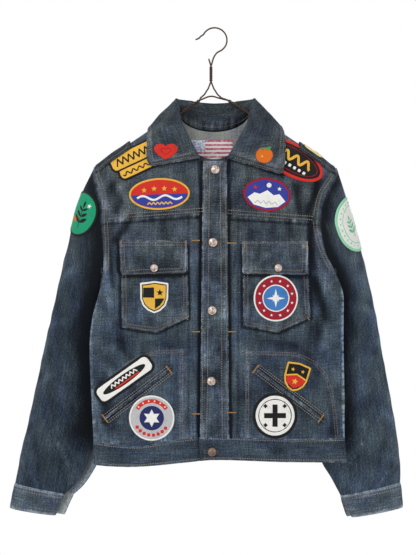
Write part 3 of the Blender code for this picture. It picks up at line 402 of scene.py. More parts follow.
@dataclass(frozen=True)
class Denim:
    """Worn indigo twill: streaks along the warp, slubs across, mottled fading, pale wearing, and
    painted light and shade from the mark stored on the mesh.
    """

    name: str
    stops: tuple[tuple[float, Colour], ...]
    contrast: float = 1.0

    def build(self) -> bpy.types.Material:
        """Makes the material on the cloth's own flat map, its fading and painted shade, and its tint.
        """
        shader = Shader(self.name)
        flat = shader.cloth_map()
        streak = shader.noise(flat, (0.003, 0.04, 1.0), 3.0)
        slub = shader.noise(flat, (0.026, 0.0024, 1.0), 2.0)
        mottle = shader.noise(flat, (0.035, 0.05, 1.0), 6.0)
        grain = shader.noise(flat, (0.0021, 0.0027, 1.0), 2.0)
        across, down, _ = shader.parts(flat)
        twill = ((across + down) * (2 * math.pi / 0.0011)).sine()
        pick = (down * (2 * math.pi / 0.0008)).sine()
        uneven = (streak - 0.5) * 0.55 + (slub - 0.5) * 0.4
        uneven = uneven + (mottle - 0.5) * 0.6 + (grain - 0.5) * 0.9
        # The stored mark makes the cloth paler where it has faded, and darker where painted shade and
        # shadow lie.
        fade = uneven * self.contrast + twill * 0.03 + 0.44 + shader.attribute("wear")
        colour = shader.node("ShaderNodeValToRGB", None, {"Fac": fade}, "Color", self.stops)
        tinted = shader.mixed(shader.attribute("tint"), colour, (0.84, 0.97, 1.12), "MULTIPLY")
        cast = shader.noise(flat, (0.05, 0.07, 1.0), 5.0).between(0.36, 0.66)
        hue = shader.mixed(cast, (1.03, 1.04, 0.95), (0.90, 0.94, 1.10))
        tinted = shader.mixed(1.0, tinted, hue, "MULTIPLY")
        relief = twill * 0.25 + pick * 0.1 + grain * 0.9 + slub * 0.5
        return shader.finish(tinted, 0.9, 0.0, relief, 0.0004)


@dataclass(frozen=True)
class Embroidery:
    """Satin-stitched thread, coloured piece by piece, with a little dirt."""

    name: str = "embroidery"

    def build(self) -> bpy.types.Material:
        """Makes the material on the thread map and the colours stored on the mesh."""
        shader = Shader(self.name)
        flat = shader.cloth_map()
        strand = shader.noise(flat, (0.004, 0.0005, 1.0), 1.0)
        _, across, _ = shader.parts(flat)
        wave = (across * (2 * math.pi / 0.0006)).sine()
        place = shader.place()
        dirt = shader.noise(place, (0.012, 0.012, 0.012), 4.0)
        thread = shader.attribute("thread", "Color")
        level = 0.94 + strand * 0.24 + wave * 0.05 - dirt.between(0.5, 0.8) * 0.2
        grey = shader.node("ShaderNodeCombineColor", None, {0: level, 1: level, 2: level})
        colour = shader.mixed(1.0, thread, grey, "MULTIPLY")
        return shader.finish(colour, 0.6, 0.0, wave * 0.5 + strand, 0.0002)


@dataclass(frozen=True)
class SewingThread:
    """Tan topstitching thread that has faded stitch by stitch."""

    name: str
    fresh: Colour
    faded: Colour

    def build(self) -> bpy.types.Material:
        """Makes the material on the tone stored with each stitch."""
        shader = Shader(self.name)
        place = shader.place()
        twist = shader.noise(place, (0.0005, 0.0005, 0.0005), 1.0)
        colour = shader.mixed(shader.attribute("tone"), self.fresh, self.faded)
        return shader.finish(colour, 0.7, 0.0, twist, 0.0001)


@dataclass(frozen=True)
class WornMetal:
    """Metal whose plating has rubbed through to the metal below, or rusted."""

    name: str
    plating: Colour
    below: Colour
    shine: float
    metal: float

    def build(self) -> bpy.types.Material:
        """Makes the material on the place in the object."""
        shader = Shader(self.name)
        place = shader.place()
        patch = shader.noise(place, (0.004, 0.004, 0.004), 4.0)
        pits = shader.noise(place, (0.0007, 0.0007, 0.0007), 3.0)
        share = (patch + (pits - 0.5) * 0.5).between(0.35, 0.68)
        colour = shader.mixed(share, self.plating, self.below)
        rough = share * 0.22 + self.shine
        return shader.finish(colour, rough, self.metal, pits, 0.00012)


@dataclass(frozen=True)
class PrintedCotton:
    """Thin cotton with faded red stripes and a pale blue field at one end."""

    name: str = "striped_cotton"
    stripe: float = 7.2
    field_end_x: float = -16.0
    field_low_z: float = -221.0

    def build(self) -> bpy.types.Material:
        """Makes the material on the place in the object."""
        shader = Shader(self.name)
        place = shader.place()
        aside, _, height = shader.parts(place)
        smear = shader.noise(place, (0.006, 0.006, 0.0015), 3.0)
        wave = ((height + smear * 0.0012) * (2 * math.pi / (self.stripe * MM))).sine()
        red = wave.between(-0.05, 0.25) * smear.between(0.25, 0.55)
        striped = shader.mixed(red, (1.0, 0.96, 0.97), (0.62, 0.055, 0.13))
        blotch = shader.noise(place, (0.0032, 0.0032, 0.0032), 3.0).between(0.42, 0.6)
        blue = shader.mixed(blotch, (1.0, 1.0, 1.0), (0.34, 0.44, 0.78))
        beyond = aside.between((self.field_end_x + 0.5) * MM, (self.field_end_x - 0.5) * MM)
        above = height.between(self.field_low_z * MM, (self.field_low_z + 1) * MM)
        colour = shader.mixed(beyond * above, striped, blue)
        return shader.finish(colour, 0.9, 0.0, smear, 0.00015)


# ------------------------------------------------------------------ meshes
def put_in_scene(name: str, data: bpy.types.ID) -> bpy.types.Object:
    """Makes an object of a mesh, lamp or camera in the scene."""
    thing = bpy.data.objects.new(name, data)
    bpy.context.scene.collection.objects.link(thing)
    return thing


def mesh_of(shape: bmesh.types.BMesh, name: str) -> bpy.types.Mesh:
    """Makes a mesh of a shape, and lets the shape go."""
    data = bpy.data.meshes.new(name)
    shape.to_mesh(data)
    shape.free()
    return data


def grid_mesh(name: str, places: Array, flat: Array, away: Callable[[Array], Array],
              marks: dict[str, Array], wrapped: bool = False) -> bpy.types.Mesh:
    """A sheet with a place in space for each point of a grid.

    Args:
        name: the mesh's name.
        places: points in millimetres, as columns by rows by 3.
        flat: the same points on the flat cloth, as columns by rows by 2.
        away: gives the way out of the piece at given points.
        marks: values stored at each point, such as wear.
        wrapped: points that come together are made one.

    Returns:
        The mesh, in metres, with its faces outwards.
    """
    columns, rows = places.shape[0] - 1, places.shape[1] - 1
    grid = bmesh.new()
    bmesh.ops.create_grid(grid, x_segments=columns, y_segments=rows, size=0.5)
    data = mesh_of(grid, name)
    at = np.empty(len(data.vertices) * 3)
    data.vertices.foreach_get("co", at)
    at = at.reshape(-1, 3)
    i = np.rint((at[:, 0] + 0.5) * columns).astype(int)
    j = np.rint((0.5 - at[:, 1]) * rows).astype(int)
    data.vertices.foreach_set("co", (places[i, j] * MM).ravel())
    corners = np.empty(len(data.loops), dtype=np.int32)
    data.loops.foreach_get("vertex_index", corners)
    layer = data.uv_layers.new(name="Cloth")
    layer.data.foreach_set("uv", (flat[i[corners], j[corners]] * MM).ravel())
    for mark, values in marks.items():
        if values.ndim == 3:
            rgba = np.concatenate([values, np.ones_like(values[..., :1])], axis=-1)
            stored = data.attributes.new(mark, "FLOAT_COLOR", "POINT")
            stored.data.foreach_set("color", rgba[i, j].ravel())
        else:
            stored = data.attributes.new(mark, "FLOAT", "POINT")
            stored.data.foreach_set("value", values[i, j].ravel())
    data.update()
    faces = len(data.polygons)
    normals, centres = np.empty(faces * 3), np.empty(faces * 3)
    data.polygons.foreach_get("normal", normals)
    data.polygons.foreach_get("center", centres)
    normals, centres = normals.reshape(-1, 3), centres.reshape(-1, 3) / MM
    if np.sum(normals * away(centres)) < 0:
        data.flip_normals()
    if wrapped:
        joined = bmesh.new()
        joined.from_mesh(data)
        bmesh.ops.remove_doubles(joined, verts=joined.verts[:], dist=1e-6)
        joined.to_mesh(data)
        joined.free()
    data.update()
    return data


def along(direction: tuple[float, float, float]) -> Callable[[Array], Array]:
    """The same way out everywhere."""
    return lambda points: np.broadcast_to(np.array(direction, float), points.shape)


def steps(points: Array, axis: int) -> Array:
    """The distance walked along one axis of a grid of points."""
    gaps = np.linalg.norm(np.diff(points, axis=axis), axis=-1)
    start = np.zeros_like(np.take(gaps, [0], axis=axis))
    return np.concatenate([start, np.cumsum(gaps, axis=axis)], axis=axis)


def unit(ways: Array) -> Array:
    """The same directions, each with a length of one."""
    return ways / np.maximum(np.linalg.norm(ways, axis=-1, keepdims=True), 1e-9)


def read_rows(stops: Array | float, keys: Array, rows: Array) -> Array:
    """Rows of numbers read at stops between their keys."""
    return np.stack([np.interp(stops, keys, column) for column in rows.T], -1)


def grid_corners(columns: int, rows: int) -> list[tuple[int, ...]]:
    """The four points of each face of a grid whose points are counted column by column."""
    starts = [i * rows + j for i in range(columns - 1) for j in range(rows - 1)]
    return [(start, start + rows, start + rows + 1, start + 1) for start in starts]


def grid_area(places: Array) -> float:
    """The area of a grid of points in square millimetres."""
    across = places[1:, 1:] - places[:-1, :-1]
    down = places[1:, :-1] - places[:-1, 1:]
    return float(np.linalg.norm(np.cross(across, down), axis=-1).sum() / 2)


def grid_normals(places: Array) -> Array:
    """The direction square to a grid at each of its points."""
    return unit(np.cross(np.gradient(places, axis=0), np.gradient(places, axis=1)))


def resample(points: Sequence[Sequence[float]], gap: float, closed: bool = False) -> Array:
    """Points along a line at even gaps of about the given length, with its corners kept."""
    path = np.array(list(points) + ([points[0]] if closed else []), float)
    found = []
    for start, end in zip(path, path[1:]):
        count = max(1, int(round(np.linalg.norm(end - start) / gap)))
        found.extend(start + (end - start) * n / count for n in range(count))
    if not closed:
        found.append(path[-1])
    return np.array(found)


def evenly(points: Array, gap: float) -> Array:
    """Points along a line at one even gap, corners cut."""
    walked = steps(points, 0)
    count = max(1, int(round(walked[-1] / gap)))
    return read_rows(np.linspace(0, walked[-1], count + 1), walked, points)


def inside_convex(outline: Outline, x: Array, z: Array) -> Array:
    """How far inside a convex outline each place lies; negative outside."""
    area = sum(a[0] * b[1] - b[0] * a[1] for a, b in zip(outline, outline[1:] + outline[:1]))
    turn = 1 if area > 0 else -1
    depth = np.full(np.shape(x), 1e9)
    for (x0, z0), (x1, z1) in zip(outline, outline[1:] + outline[:1]):
        length = math.hypot(x1 - x0, z1 - z0)
        away = ((x1 - x0) * (z - z0) - (z1 - z0) * (x - x0)) / length * turn
        depth = np.minimum(depth, away)
    return depth


# ------------------------------------------------------------------ grounds
class Ground:
    """A surface on which things are sewn, found from flat places."""

    def spot(self, x: Array, z: Array) -> tuple[Array, Array]:
        """The points and outward directions at flat places."""
        raise NotImplementedError

    def lay(self, x: Array, z: Array, height: Array | float) -> Array:
        """Points that stand at a height on the surface."""
        points, normals = self.spot(x, z)
        return points + normals * np.expand_dims(np.broadcast_to(height, np.shape(x)), -1)


class GridGround(Ground):
    """A surface known as a grid of points with flat places of their own."""

    def __init__(self, places: Array, normals: Array, flat: Array) -> None:
        """Takes the points, outward directions and flat places, as columns by rows."""
        self.places, self.normals, self.flat = places, normals, flat
        points = [(float(a), float(b), 0.0) for a, b in flat.reshape(-1, 2)]
        self.finder = BVHTree.FromPolygons(points, grid_corners(*places.shape[:2]))
        self.last_column, self.last_row = (count - 1 for count in places.shape[:2])

    def read(self, i: Array, j: Array, height: Array | float = 0.0) -> tuple[Array, Array]:
        """Points and directions at fractional columns and rows of the grid."""
        i = np.clip(i, 0, self.last_column - 0.0001)
        j = np.clip(j, 0, self.last_row - 0.0001)
        a, b = i.astype(int), j.astype(int)
        s, t = (i - a)[..., None], (j - b)[..., None]

        def level(values: Array) -> Array:
            """Bilinear value at the places."""
            low = values[a, b] * (1 - s) + values[a + 1, b] * s
            high = values[a, b + 1] * (1 - s) + values[a + 1, b + 1] * s
            return low * (1 - t) + high * t

        normals = unit(level(self.normals))
        raised = normals * np.expand_dims(np.broadcast_to(height, np.shape(i)), -1)
        return level(self.places) + raised, normals

    def spot(self, x: Array, z: Array) -> tuple[Array, Array]:
        """The points and outward directions at flat places."""
        shape = np.shape(x)
        i, j = np.zeros(shape), np.zeros(shape)
        for index in np.ndindex(shape):
            place = Vector((float(x[index]), float(z[index]), 0.0))
            _, _, face, _ = self.finder.find_nearest(place)
            a, b = divmod(face, self.last_row)
            origin = self.flat[a, b]
            across = self.flat[a + 1, b] - origin
            down = self.flat[a, b + 1] - origin
            area = across[0] * down[1] - across[1] * down[0]
            aside, below = place.x - origin[0], place.y - origin[1]
            i[index] = a + np.clip((aside * down[1] - below * down[0]) / area, 0, 1)
            j[index] = b + np.clip((across[0] * below - across[1] * aside) / area, 0, 1)
        return self.read(i, j)


@dataclass(frozen=True)
class Cover:
    """A flat-topped rise in the cloth, where a convex piece lies on what is below it."""

    outline: Outline
    thickness: float
    soft: float = 1.6

    def rise(self, x: Array, z: Array) -> Array:
        """The height of the rise at flat places."""
        return self.thickness * quarter(inside_convex(self.outline, x, z) / self.soft)


@dataclass
class Trunk:
    """The jacket's body: a front and a back as heights over one flat outline."""

    neck_half: float = 65.0
    neck_side_z: float = -148.0
    shoulder_slope: float = 0.682
    neck_drops: dict[Side, float] = field(
        default_factory=lambda: {Side.FRONT: 90.0, Side.BACK: 36.0}
    )
    crown_drop: float = 60.0
    armpit_z: float = -440.0
    armhole_top_z: float = -251.0
    armhole_half: float = 24.0
    side_seam_y: float = -14.0
    bulge_power: float = 2.5
    rows: Table = field(default_factory=lambda: Table(
        "z right left front back",
        (-148, -216, 221, -34, 26), (-251, -216, 221, -36, 28), (-300, -202.5, 194.4, -38, 30),
        (-350, -198, 185.4, -39, 31), (-400, -196, 196.5, -39, 31), (-440, -198.5, 217, -38, 30),
        (-475, -206, 231, -37, 30), (-520, -218, 232, -36, 29), (-570, -223, 232, -34, 28),
        (-669, -219.6, 234, -31, 26), (-741, -216, 234, -30, 25), (-790, -214, 238, -30, 25),
    ))
    levels: Table = field(default_factory=lambda: Table(
        "x waist hem",
        (-230, -741, -782), (-187, -747, -785.5), (-130, -750, -785.5), (-61, -737.5, -779),
        (0, -733.5, -773.5), (120, -737, -777), (240, -737, -779),
    ))
    creases: dict[Side, Sequence[Crease]] = field(default_factory=dict)
    seams_and_shadows: dict[Side, Sequence[SeamOrShadowLine]] = field(default_factory=dict)

    def shoulder_z(self, x: Array) -> Array:
        """Height of the shoulder line."""
        return self.neck_side_z - self.shoulder_slope * (np.abs(x) - self.neck_half)

    def top_z(self, side: Side, x: Array) -> Array:
        """Height of the neckline, and of the shoulder beyond it."""
        bow = np.sqrt(np.maximum(0.0, 1 - (x / self.neck_half) ** 2))
        neck = self.neck_side_z - self.neck_drops[side] * bow
        return np.where(np.abs(x) >= self.neck_half, self.shoulder_z(x), neck)

    def edge_x(self, sign: int, z: Array) -> Array:
        """X of the body's right (-1) or left (1) edge."""
        return self.rows.read("right" if sign < 0 else "left", z)

    def side_y(self, side: Side, z: Array) -> Array:
        """Y of the panel's edge: the armhole's loop above the armpit, the side seam below."""
        height = (z - self.armpit_z) / (self.armhole_top_z - self.armpit_z)
        centre = self.side_seam_y * (1 - np.clip(height, 0, 1))
        return centre + side.value * self.armhole_half * quarter(height / 0.5)

    def share(self, x: Array, z: Array) -> Array:
        """How far out a place is, from 0 in the middle to 1 at the edge."""
        right, left = self.edge_x(-1, z), self.edge_x(1, z)
        return np.minimum(np.abs((2 * x - right - left) / (left - right)), 1.0)

    def y(self, side: Side, x: Array, z: Array, creased_too: bool = True) -> Array:
        """Y of the outer face over flat places."""
        share = self.share(x, z)
        middle = self.rows.read("front" if side == Side.FRONT else "back", z)
        edge = self.side_y(side, z)
        lift = 0.0
        if creased_too:
            lift = creased(self.creases.get(side, ()), x, z)
            lift = lift + 1.2 * ripple(x / 47, z / 61, 3) + 0.7 * ripple(x / 19, z / 25, 9)
            lift = lift + 0.2 * ripple(x / 8, z / 11, 10)
            for seam in self.seams_and_shadows.get(side, ()):
                lift = lift + seam.lift(x, z)
            lift = lift * quarter((1 - share) / 0.1)
        bulge = np.sqrt(np.maximum(0.0, 1 - share**self.bulge_power))
        crown = quarter((self.shoulder_z(x) - z) / self.crown_drop)
        return (edge + (middle - edge) * bulge + side.value * lift) * crown


@dataclass
class TrunkGround(Ground):
    """The front or back of the trunk with what has been sewn to it so far."""

    trunk: Trunk
    side: Side
    covers: list[Cover] = field(default_factory=list)
    dip: Callable[[Array, Array], Array] | None = None

    def spot(self, x: Array, z: Array) -> tuple[Array, Array]:
        """The points and outward directions at flat places."""
        step = 1.5
        face = lambda x, z: self.trunk.y(self.side, x, z)
        y = face(x, z)
        slope_x = (face(x + step, z) - face(x - step, z)) / (2 * step)
        slope_z = (face(x, z + step) - face(x, z - step)) / (2 * step)
        normals = unit(np.stack([-slope_x, np.ones_like(y), -slope_z], -1) * self.side.value)
        points = np.stack([x, y, z], -1)
        rise = sum((cover.rise(x, z) for cover in self.covers), np.zeros_like(y))
        if self.dip is not None:
            rise = rise - self.dip(x, z)
        return points + normals * rise[..., None], normals


def four_sided(left: Edge, right: Edge, top: Edge, bottom: Edge,
               across: Array, down: Array) -> tuple[Array, Array]:
    """Flat places of a grid between four edges.

    Args:
        left: x of the left edge at a height.
        right: x of the right edge at a height.
        top: height of the top edge at an x.
        bottom: height of the bottom edge at an x.
        across: the columns' places, from 0 on the left to 1.
        down: the rows' places, from 0 at the top to 1.

    Returns:
        The x and z of each point, as columns by rows.
    """
    share_x, share_z = np.meshgrid(across, down, indexing="ij")
    z = np.full(share_x.shape, -300.0)
    x = blend(left(z), right(z), share_x)
    for _ in range(16):
        z = blend(top(x), bottom(x), share_z)
        x = blend(left(z), right(z), share_x)
    return x, z


def level(value: float) -> Edge:
    """An edge at one place."""
    return lambda place: np.full(np.shape(place), float(value))


def line(points: Outline, by_height: bool = False) -> Edge:
    """An edge through points: z at an x, or x at a height."""
    known = sorted((z, x) if by_height else (x, z) for x, z in points)
    keys = np.array([k for k, _ in known], float)
    values = np.array([v for _, v in known], float)
    return lambda place: np.interp(place, keys, values)


def quad_places(corners: Sequence[tuple[float, float]], columns: int, rows: int) -> tuple:
    """Flat places of a grid in a four-cornered piece: top left, low left, low right, top right."""
    a, b = np.meshgrid(np.linspace(0, 1, columns + 1), np.linspace(0, 1, rows + 1), indexing="ij")
    (x0, z0), (x1, z1), (x2, z2), (x3, z3) = corners
    x = (x0 * (1 - a) + x3 * a) * (1 - b) + (x1 * (1 - a) + x2 * a) * b
    z = (z0 * (1 - a) + z3 * a) * (1 - b) + (z1 * (1 - a) + z2 * a) * b
    return x, z


# ------------------------------------------------------------------ outlines
def turned(points: Array, x: float, z: float, tilt: float = 0.0) -> Array:
    """Points turned by tilt degrees, positive rising to the right, and moved to x, z."""
    c, s = math.cos(math.radians(tilt)), math.sin(math.radians(tilt))
    points = np.asarray(points, float)
    return np.stack([
        x + points[:, 0] * c - points[:, 1] * s, z + points[:, 0] * s + points[:, 1] * c
    ], 1)


def ellipse(half_wide: float, half_high: float, sides: int = 72) -> Array:
    """An ellipse about the origin."""
    angle = np.linspace(0, 2 * math.pi, sides, endpoint=False)
    return np.stack([half_wide * np.cos(angle), half_high * np.sin(angle)], 1)


def bar(wide: float, high: float, corner: float) -> Array:
    """A bar with round corners about the origin."""
    points = []
    for n, (side_x, side_z) in enumerate(((1, 1), (-1, 1), (-1, -1), (1, -1))):
        for k in range(9):
            angle = math.pi / 2 * (n + k / 8)
            points.append((
                side_x * (wide / 2 - corner) + corner * math.cos(angle),
                side_z * (high / 2 - corner) + corner * math.sin(angle),
            ))
    return resample(points, 1.6, closed=True)


def shield(wide: float, high: float) -> Array:
    """A shield about the origin."""
    shape = ((-0.5, 0.44), (-0.49, -0.05), (-0.4, -0.27), (-0.22, -0.42), (0, -0.5),
             (0.22, -0.42), (0.4, -0.27), (0.49, -0.05), (0.5, 0.44), (0, 0.5))
    return resample([(a * wide, b * high) for a, b in shape], 1.6, closed=True)


def heart(half_wide: float, half_high: float) -> Array:
    """A heart about the origin."""
    lobe = ((0.0, 0.62), (0.22, 0.92), (0.52, 1.0), (0.8, 0.86), (0.98, 0.5), (0.9, 0.05),
            (0.55, -0.5))
    points = [(a * half_wide, b * half_high) for a, b in lobe] + [(0.0, -half_high)]
    points += [(-a * half_wide, b * half_high) for a, b in lobe[:0:-1]]
    return resample(points, 1.2, closed=True)


def star(points: int, outer: float, inner: float, turn: float = 90.0) -> Array:
    """A star about the origin."""
    angles = np.radians(turn) + np.arange(points * 2) * math.pi / points
    sizes = np.where(np.arange(points * 2) % 2 == 0, outer, inner)
    return np.stack([sizes * np.cos(angles), sizes * np.sin(angles)], 1)


def leaf(length: float, width: float, turn: float) -> Array:
    """A pointed leaf from the origin."""
    share = np.concatenate([np.linspace(0, 1, 12), np.linspace(1, 0, 12)[1:-1]])
    side = np.concatenate([np.ones(12), -np.ones(10)])
    wide = side * width / 2 * np.sin(math.pi * share) ** 0.8
    return turned(np.stack([share * length, wide], 1), 0, 0, turn)


# ------------------------------------------------------------------ making pieces
@dataclass
class Maker:
    """Adds finished pieces to the scene, under the root, and hides the solids they stand for."""

    looks: dict[str, bpy.types.Material]

    def add(self, data: bpy.types.Mesh, looks: Sequence[str], slot: str,
            node: str | None = None) -> bpy.types.Object:
        """Makes an object of a mesh.

        Args:
            data: the mesh, in metres.
            looks: the names of its finishes.
            slot: not used.
            node: the solid that it stands for.

        Returns:
            The object.
        """
        name = data.name.partition(".")[0]
        thing = put_in_scene(f"{name}_{looks[0]}", data)
        for look in looks:
            data.materials.append(self.looks[look])
        data.shade_smooth()
        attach(thing, "root")
        if node:
            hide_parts(node)
        log.info("%s: %d points", thing.name, len(data.vertices))
        return thing

    def cloth(self, data: bpy.types.Mesh, places: Array, looks: Sequence[str], slot: str,
              wall: float, rests_on: Sequence[str], held: str = "hung") -> bpy.types.Object:
        """Makes a sheet of cloth of a mesh, with a wall inwards.

        Args:
            data: the mesh, in metres.
            places: its grid of points, for the cut's size.
            looks: the outer and the inner finish.
            slot: the slot, which is also the solid's name.
            wall: the cloth's thickness in millimetres.
            rests_on: not used.
            held: not used.

        Returns:
            The object.
        """
        thing = self.add(data, looks, slot, slot)
        self.give_wall(thing, wall)
        width = steps(places, 0)[-1].max() * MM
        length = steps(places, 1)[:, -1].max() * MM
        area = min(grid_area(places) * MM * MM, width * length)
        return thing

    def give_wall(self, thing: bpy.types.Object, wall: float) -> None:
        """Gives a sheet its thickness, inwards, with its last finish on the inside."""
        solid = thing.modifiers.new("wall", "SOLIDIFY")
        solid.thickness, solid.offset = wall * MM, -1.0
        solid.material_offset = len(thing.data.materials) - 1

    def joined(self, name: str, meshes: Sequence[bpy.types.Mesh], look: str,
               slot: str) -> bpy.types.Object:
        """Makes one object of several meshes."""
        things = [put_in_scene(f"{name}_{n}", data) for n, data in enumerate(meshes)]
        with bpy.context.temp_override(
            active_object=things[0], object=things[0], selected_objects=things,
            selected_editable_objects=things,
        ):
            bpy.ops.object.join()
        data = things[0].data
        bpy.data.objects.remove(things[0])
        data.name = name
        return self.add(data, (look,), slot)


def shares(count: int, start: float = 1.0, end: float = 1.0) -> Array:
    """Places from 0 to 1, closer together at an end whose power is over 1."""
    even = np.linspace(0, 1, count + 1)
    return 1 - (1 - even**start) ** end


def finer(places: Array, low: float, high: float) -> Array:
    """The same places with two more between each pair that lies between low and high."""
    gaps = [(a, b) for a, b in zip(places, places[1:]) if low < a < high]
    extra = [a + (b - a) * share for a, b in gaps for share in (1 / 3, 2 / 3)]
    return np.sort(np.concatenate([places, extra]))


@dataclass
class Threads:
    """Stitches and tacks, gathered first and then made as one mesh."""

    centres: list[Array] = field(default_factory=list)
    ways: list[Array] = field(default_factory=list)
    normals: list[Array] = field(default_factory=list)
    sizes: list[Array] = field(default_factory=list)
    tones: list[Array] = field(default_factory=list)
    pitch: float = 4.2
    width: float = 1.45
    tack_height: float = 0.35

    def put(self, centres: Array, ways: Array, normals: Array, size: tuple[float, float, float],
            tone: Array) -> None:
        """Adds stitches at centres, each along its way, with length, width and height."""
        self.centres.append(centres)
        self.ways.append(unit(ways))
        self.normals.append(normals)
        self.sizes.append(np.broadcast_to(np.array(size, float), centres.shape).copy())
        self.tones.append(tone)

    def row(self, points: Array, normals: Array, faded: float = 0.5) -> None:
        """A row of topstitching along points in space."""
        both = evenly(np.concatenate([points, normals], 1), self.pitch)
        middles = (both[1:] + both[:-1]) / 2
        ways = both[1:, :3] - both[:-1, :3]
        number = np.arange(len(middles)) + float(points[0].sum())
        tone = np.clip(faded + 0.45 * ripple(number / 9, number * 0 + faded * 7, 4)
                       + 0.25 * ripple(number / 1.7, number * 0 + 3.1, 6), 0, 1)
        size = (self.pitch * 0.78, self.width, 0.62)
        self.put(middles[:, :3], ways, middles[:, 3:], size, tone)

    def flat_row(self, ground: Ground, line_points: Sequence[Sequence[float]], height: float = 0.1,
                 faded: float = 0.5) -> None:
        """A row of topstitching along a line on flat cloth."""
        flat = resample(line_points, 2.0)
        points, normals = ground.spot(flat[:, 0], flat[:, 1])
        self.row(points + normals * height, normals, faded)

    def tack(self, ground: Ground, start: tuple[float, float], end: tuple[float, float],
             width: float) -> None:
        """A bar tack: satin stitches packed across a short line."""
        ends = np.array([start, end], float)
        count = max(5, int(np.linalg.norm(ends[1] - ends[0]) / 0.62))
        share = (np.arange(count) + 0.5) / count
        flat = ends[0] + (ends[1] - ends[0]) * share[:, None]
        points, normals = ground.spot(flat[:, 0], flat[:, 1])
        ways = np.gradient(points, axis=0)
        across = np.cross(normals, ways) + ways * 0.25
        tone = 0.3 + 0.3 * ripple(share * 5, share * 0 + start[0], 8)
        raised = points + normals * self.tack_height
        self.put(raised, across, normals, (width, 0.8, 0.7), tone)

    def build(self, name: str) -> bpy.types.Mesh:
        """Makes all the stitches one mesh: a lozenge of thread repeated at each place."""
        shape = bmesh.new()
        bmesh.ops.create_uvsphere(shape, u_segments=6, v_segments=3, radius=0.5)
        bmesh.ops.rotate(shape, verts=shape.verts[:], cent=(0, 0, 0),
                         matrix=Vector((0, 0, 1)).rotation_difference(Vector((1, 0, 0))).to_matrix())
        shape.verts.ensure_lookup_table()
        model = np.array([vert.co[:] for vert in shape.verts])
        corners = [[vert.index for vert in face.verts] for face in shape.faces]
        shape.free()
        centres, ways = np.concatenate(self.centres), np.concatenate(self.ways)
        normals, sizes = np.concatenate(self.normals), np.concatenate(self.sizes)
        across = unit(np.cross(normals, ways))
        axes = np.stack([ways, across, np.cross(ways, across)], 1) * sizes[:, :, None]
        points = centres[:, None, :] + np.einsum("vk,nkx->nvx", model, axes)
        count, size = len(centres), len(model)
        faces = [[n * size + c for c in face] for n in range(count) for face in corners]
        data = bpy.data.meshes.new(name)
        data.from_pydata((points.reshape(-1, 3) * MM).tolist(), [], faces)
        tone = data.attributes.new("tone", "FLOAT", "POINT")
        tone.data.foreach_set("value", np.repeat(np.concatenate(self.tones), size))
        data.update()
        return data


# ------------------------------------------------------------------ the trunk
# The x of the placket's left and right edges, at its top and at its foot.
PLACKET_LEFT = (-19.8, -25.2)
PLACKET_RIGHT = (22.5, 27.0)
PLACKET_TOP_Z = -241.0


@dataclass
class Panel:
    """One cut piece of the trunk."""

    name: str
    side: Side
    left: Edge
    right: Edge
    top: Edge
    bottom: Edge
    across: Array
    down: Array
    lift: Callable[[Array, Array], Array]
    rests_on: tuple[str, ...]


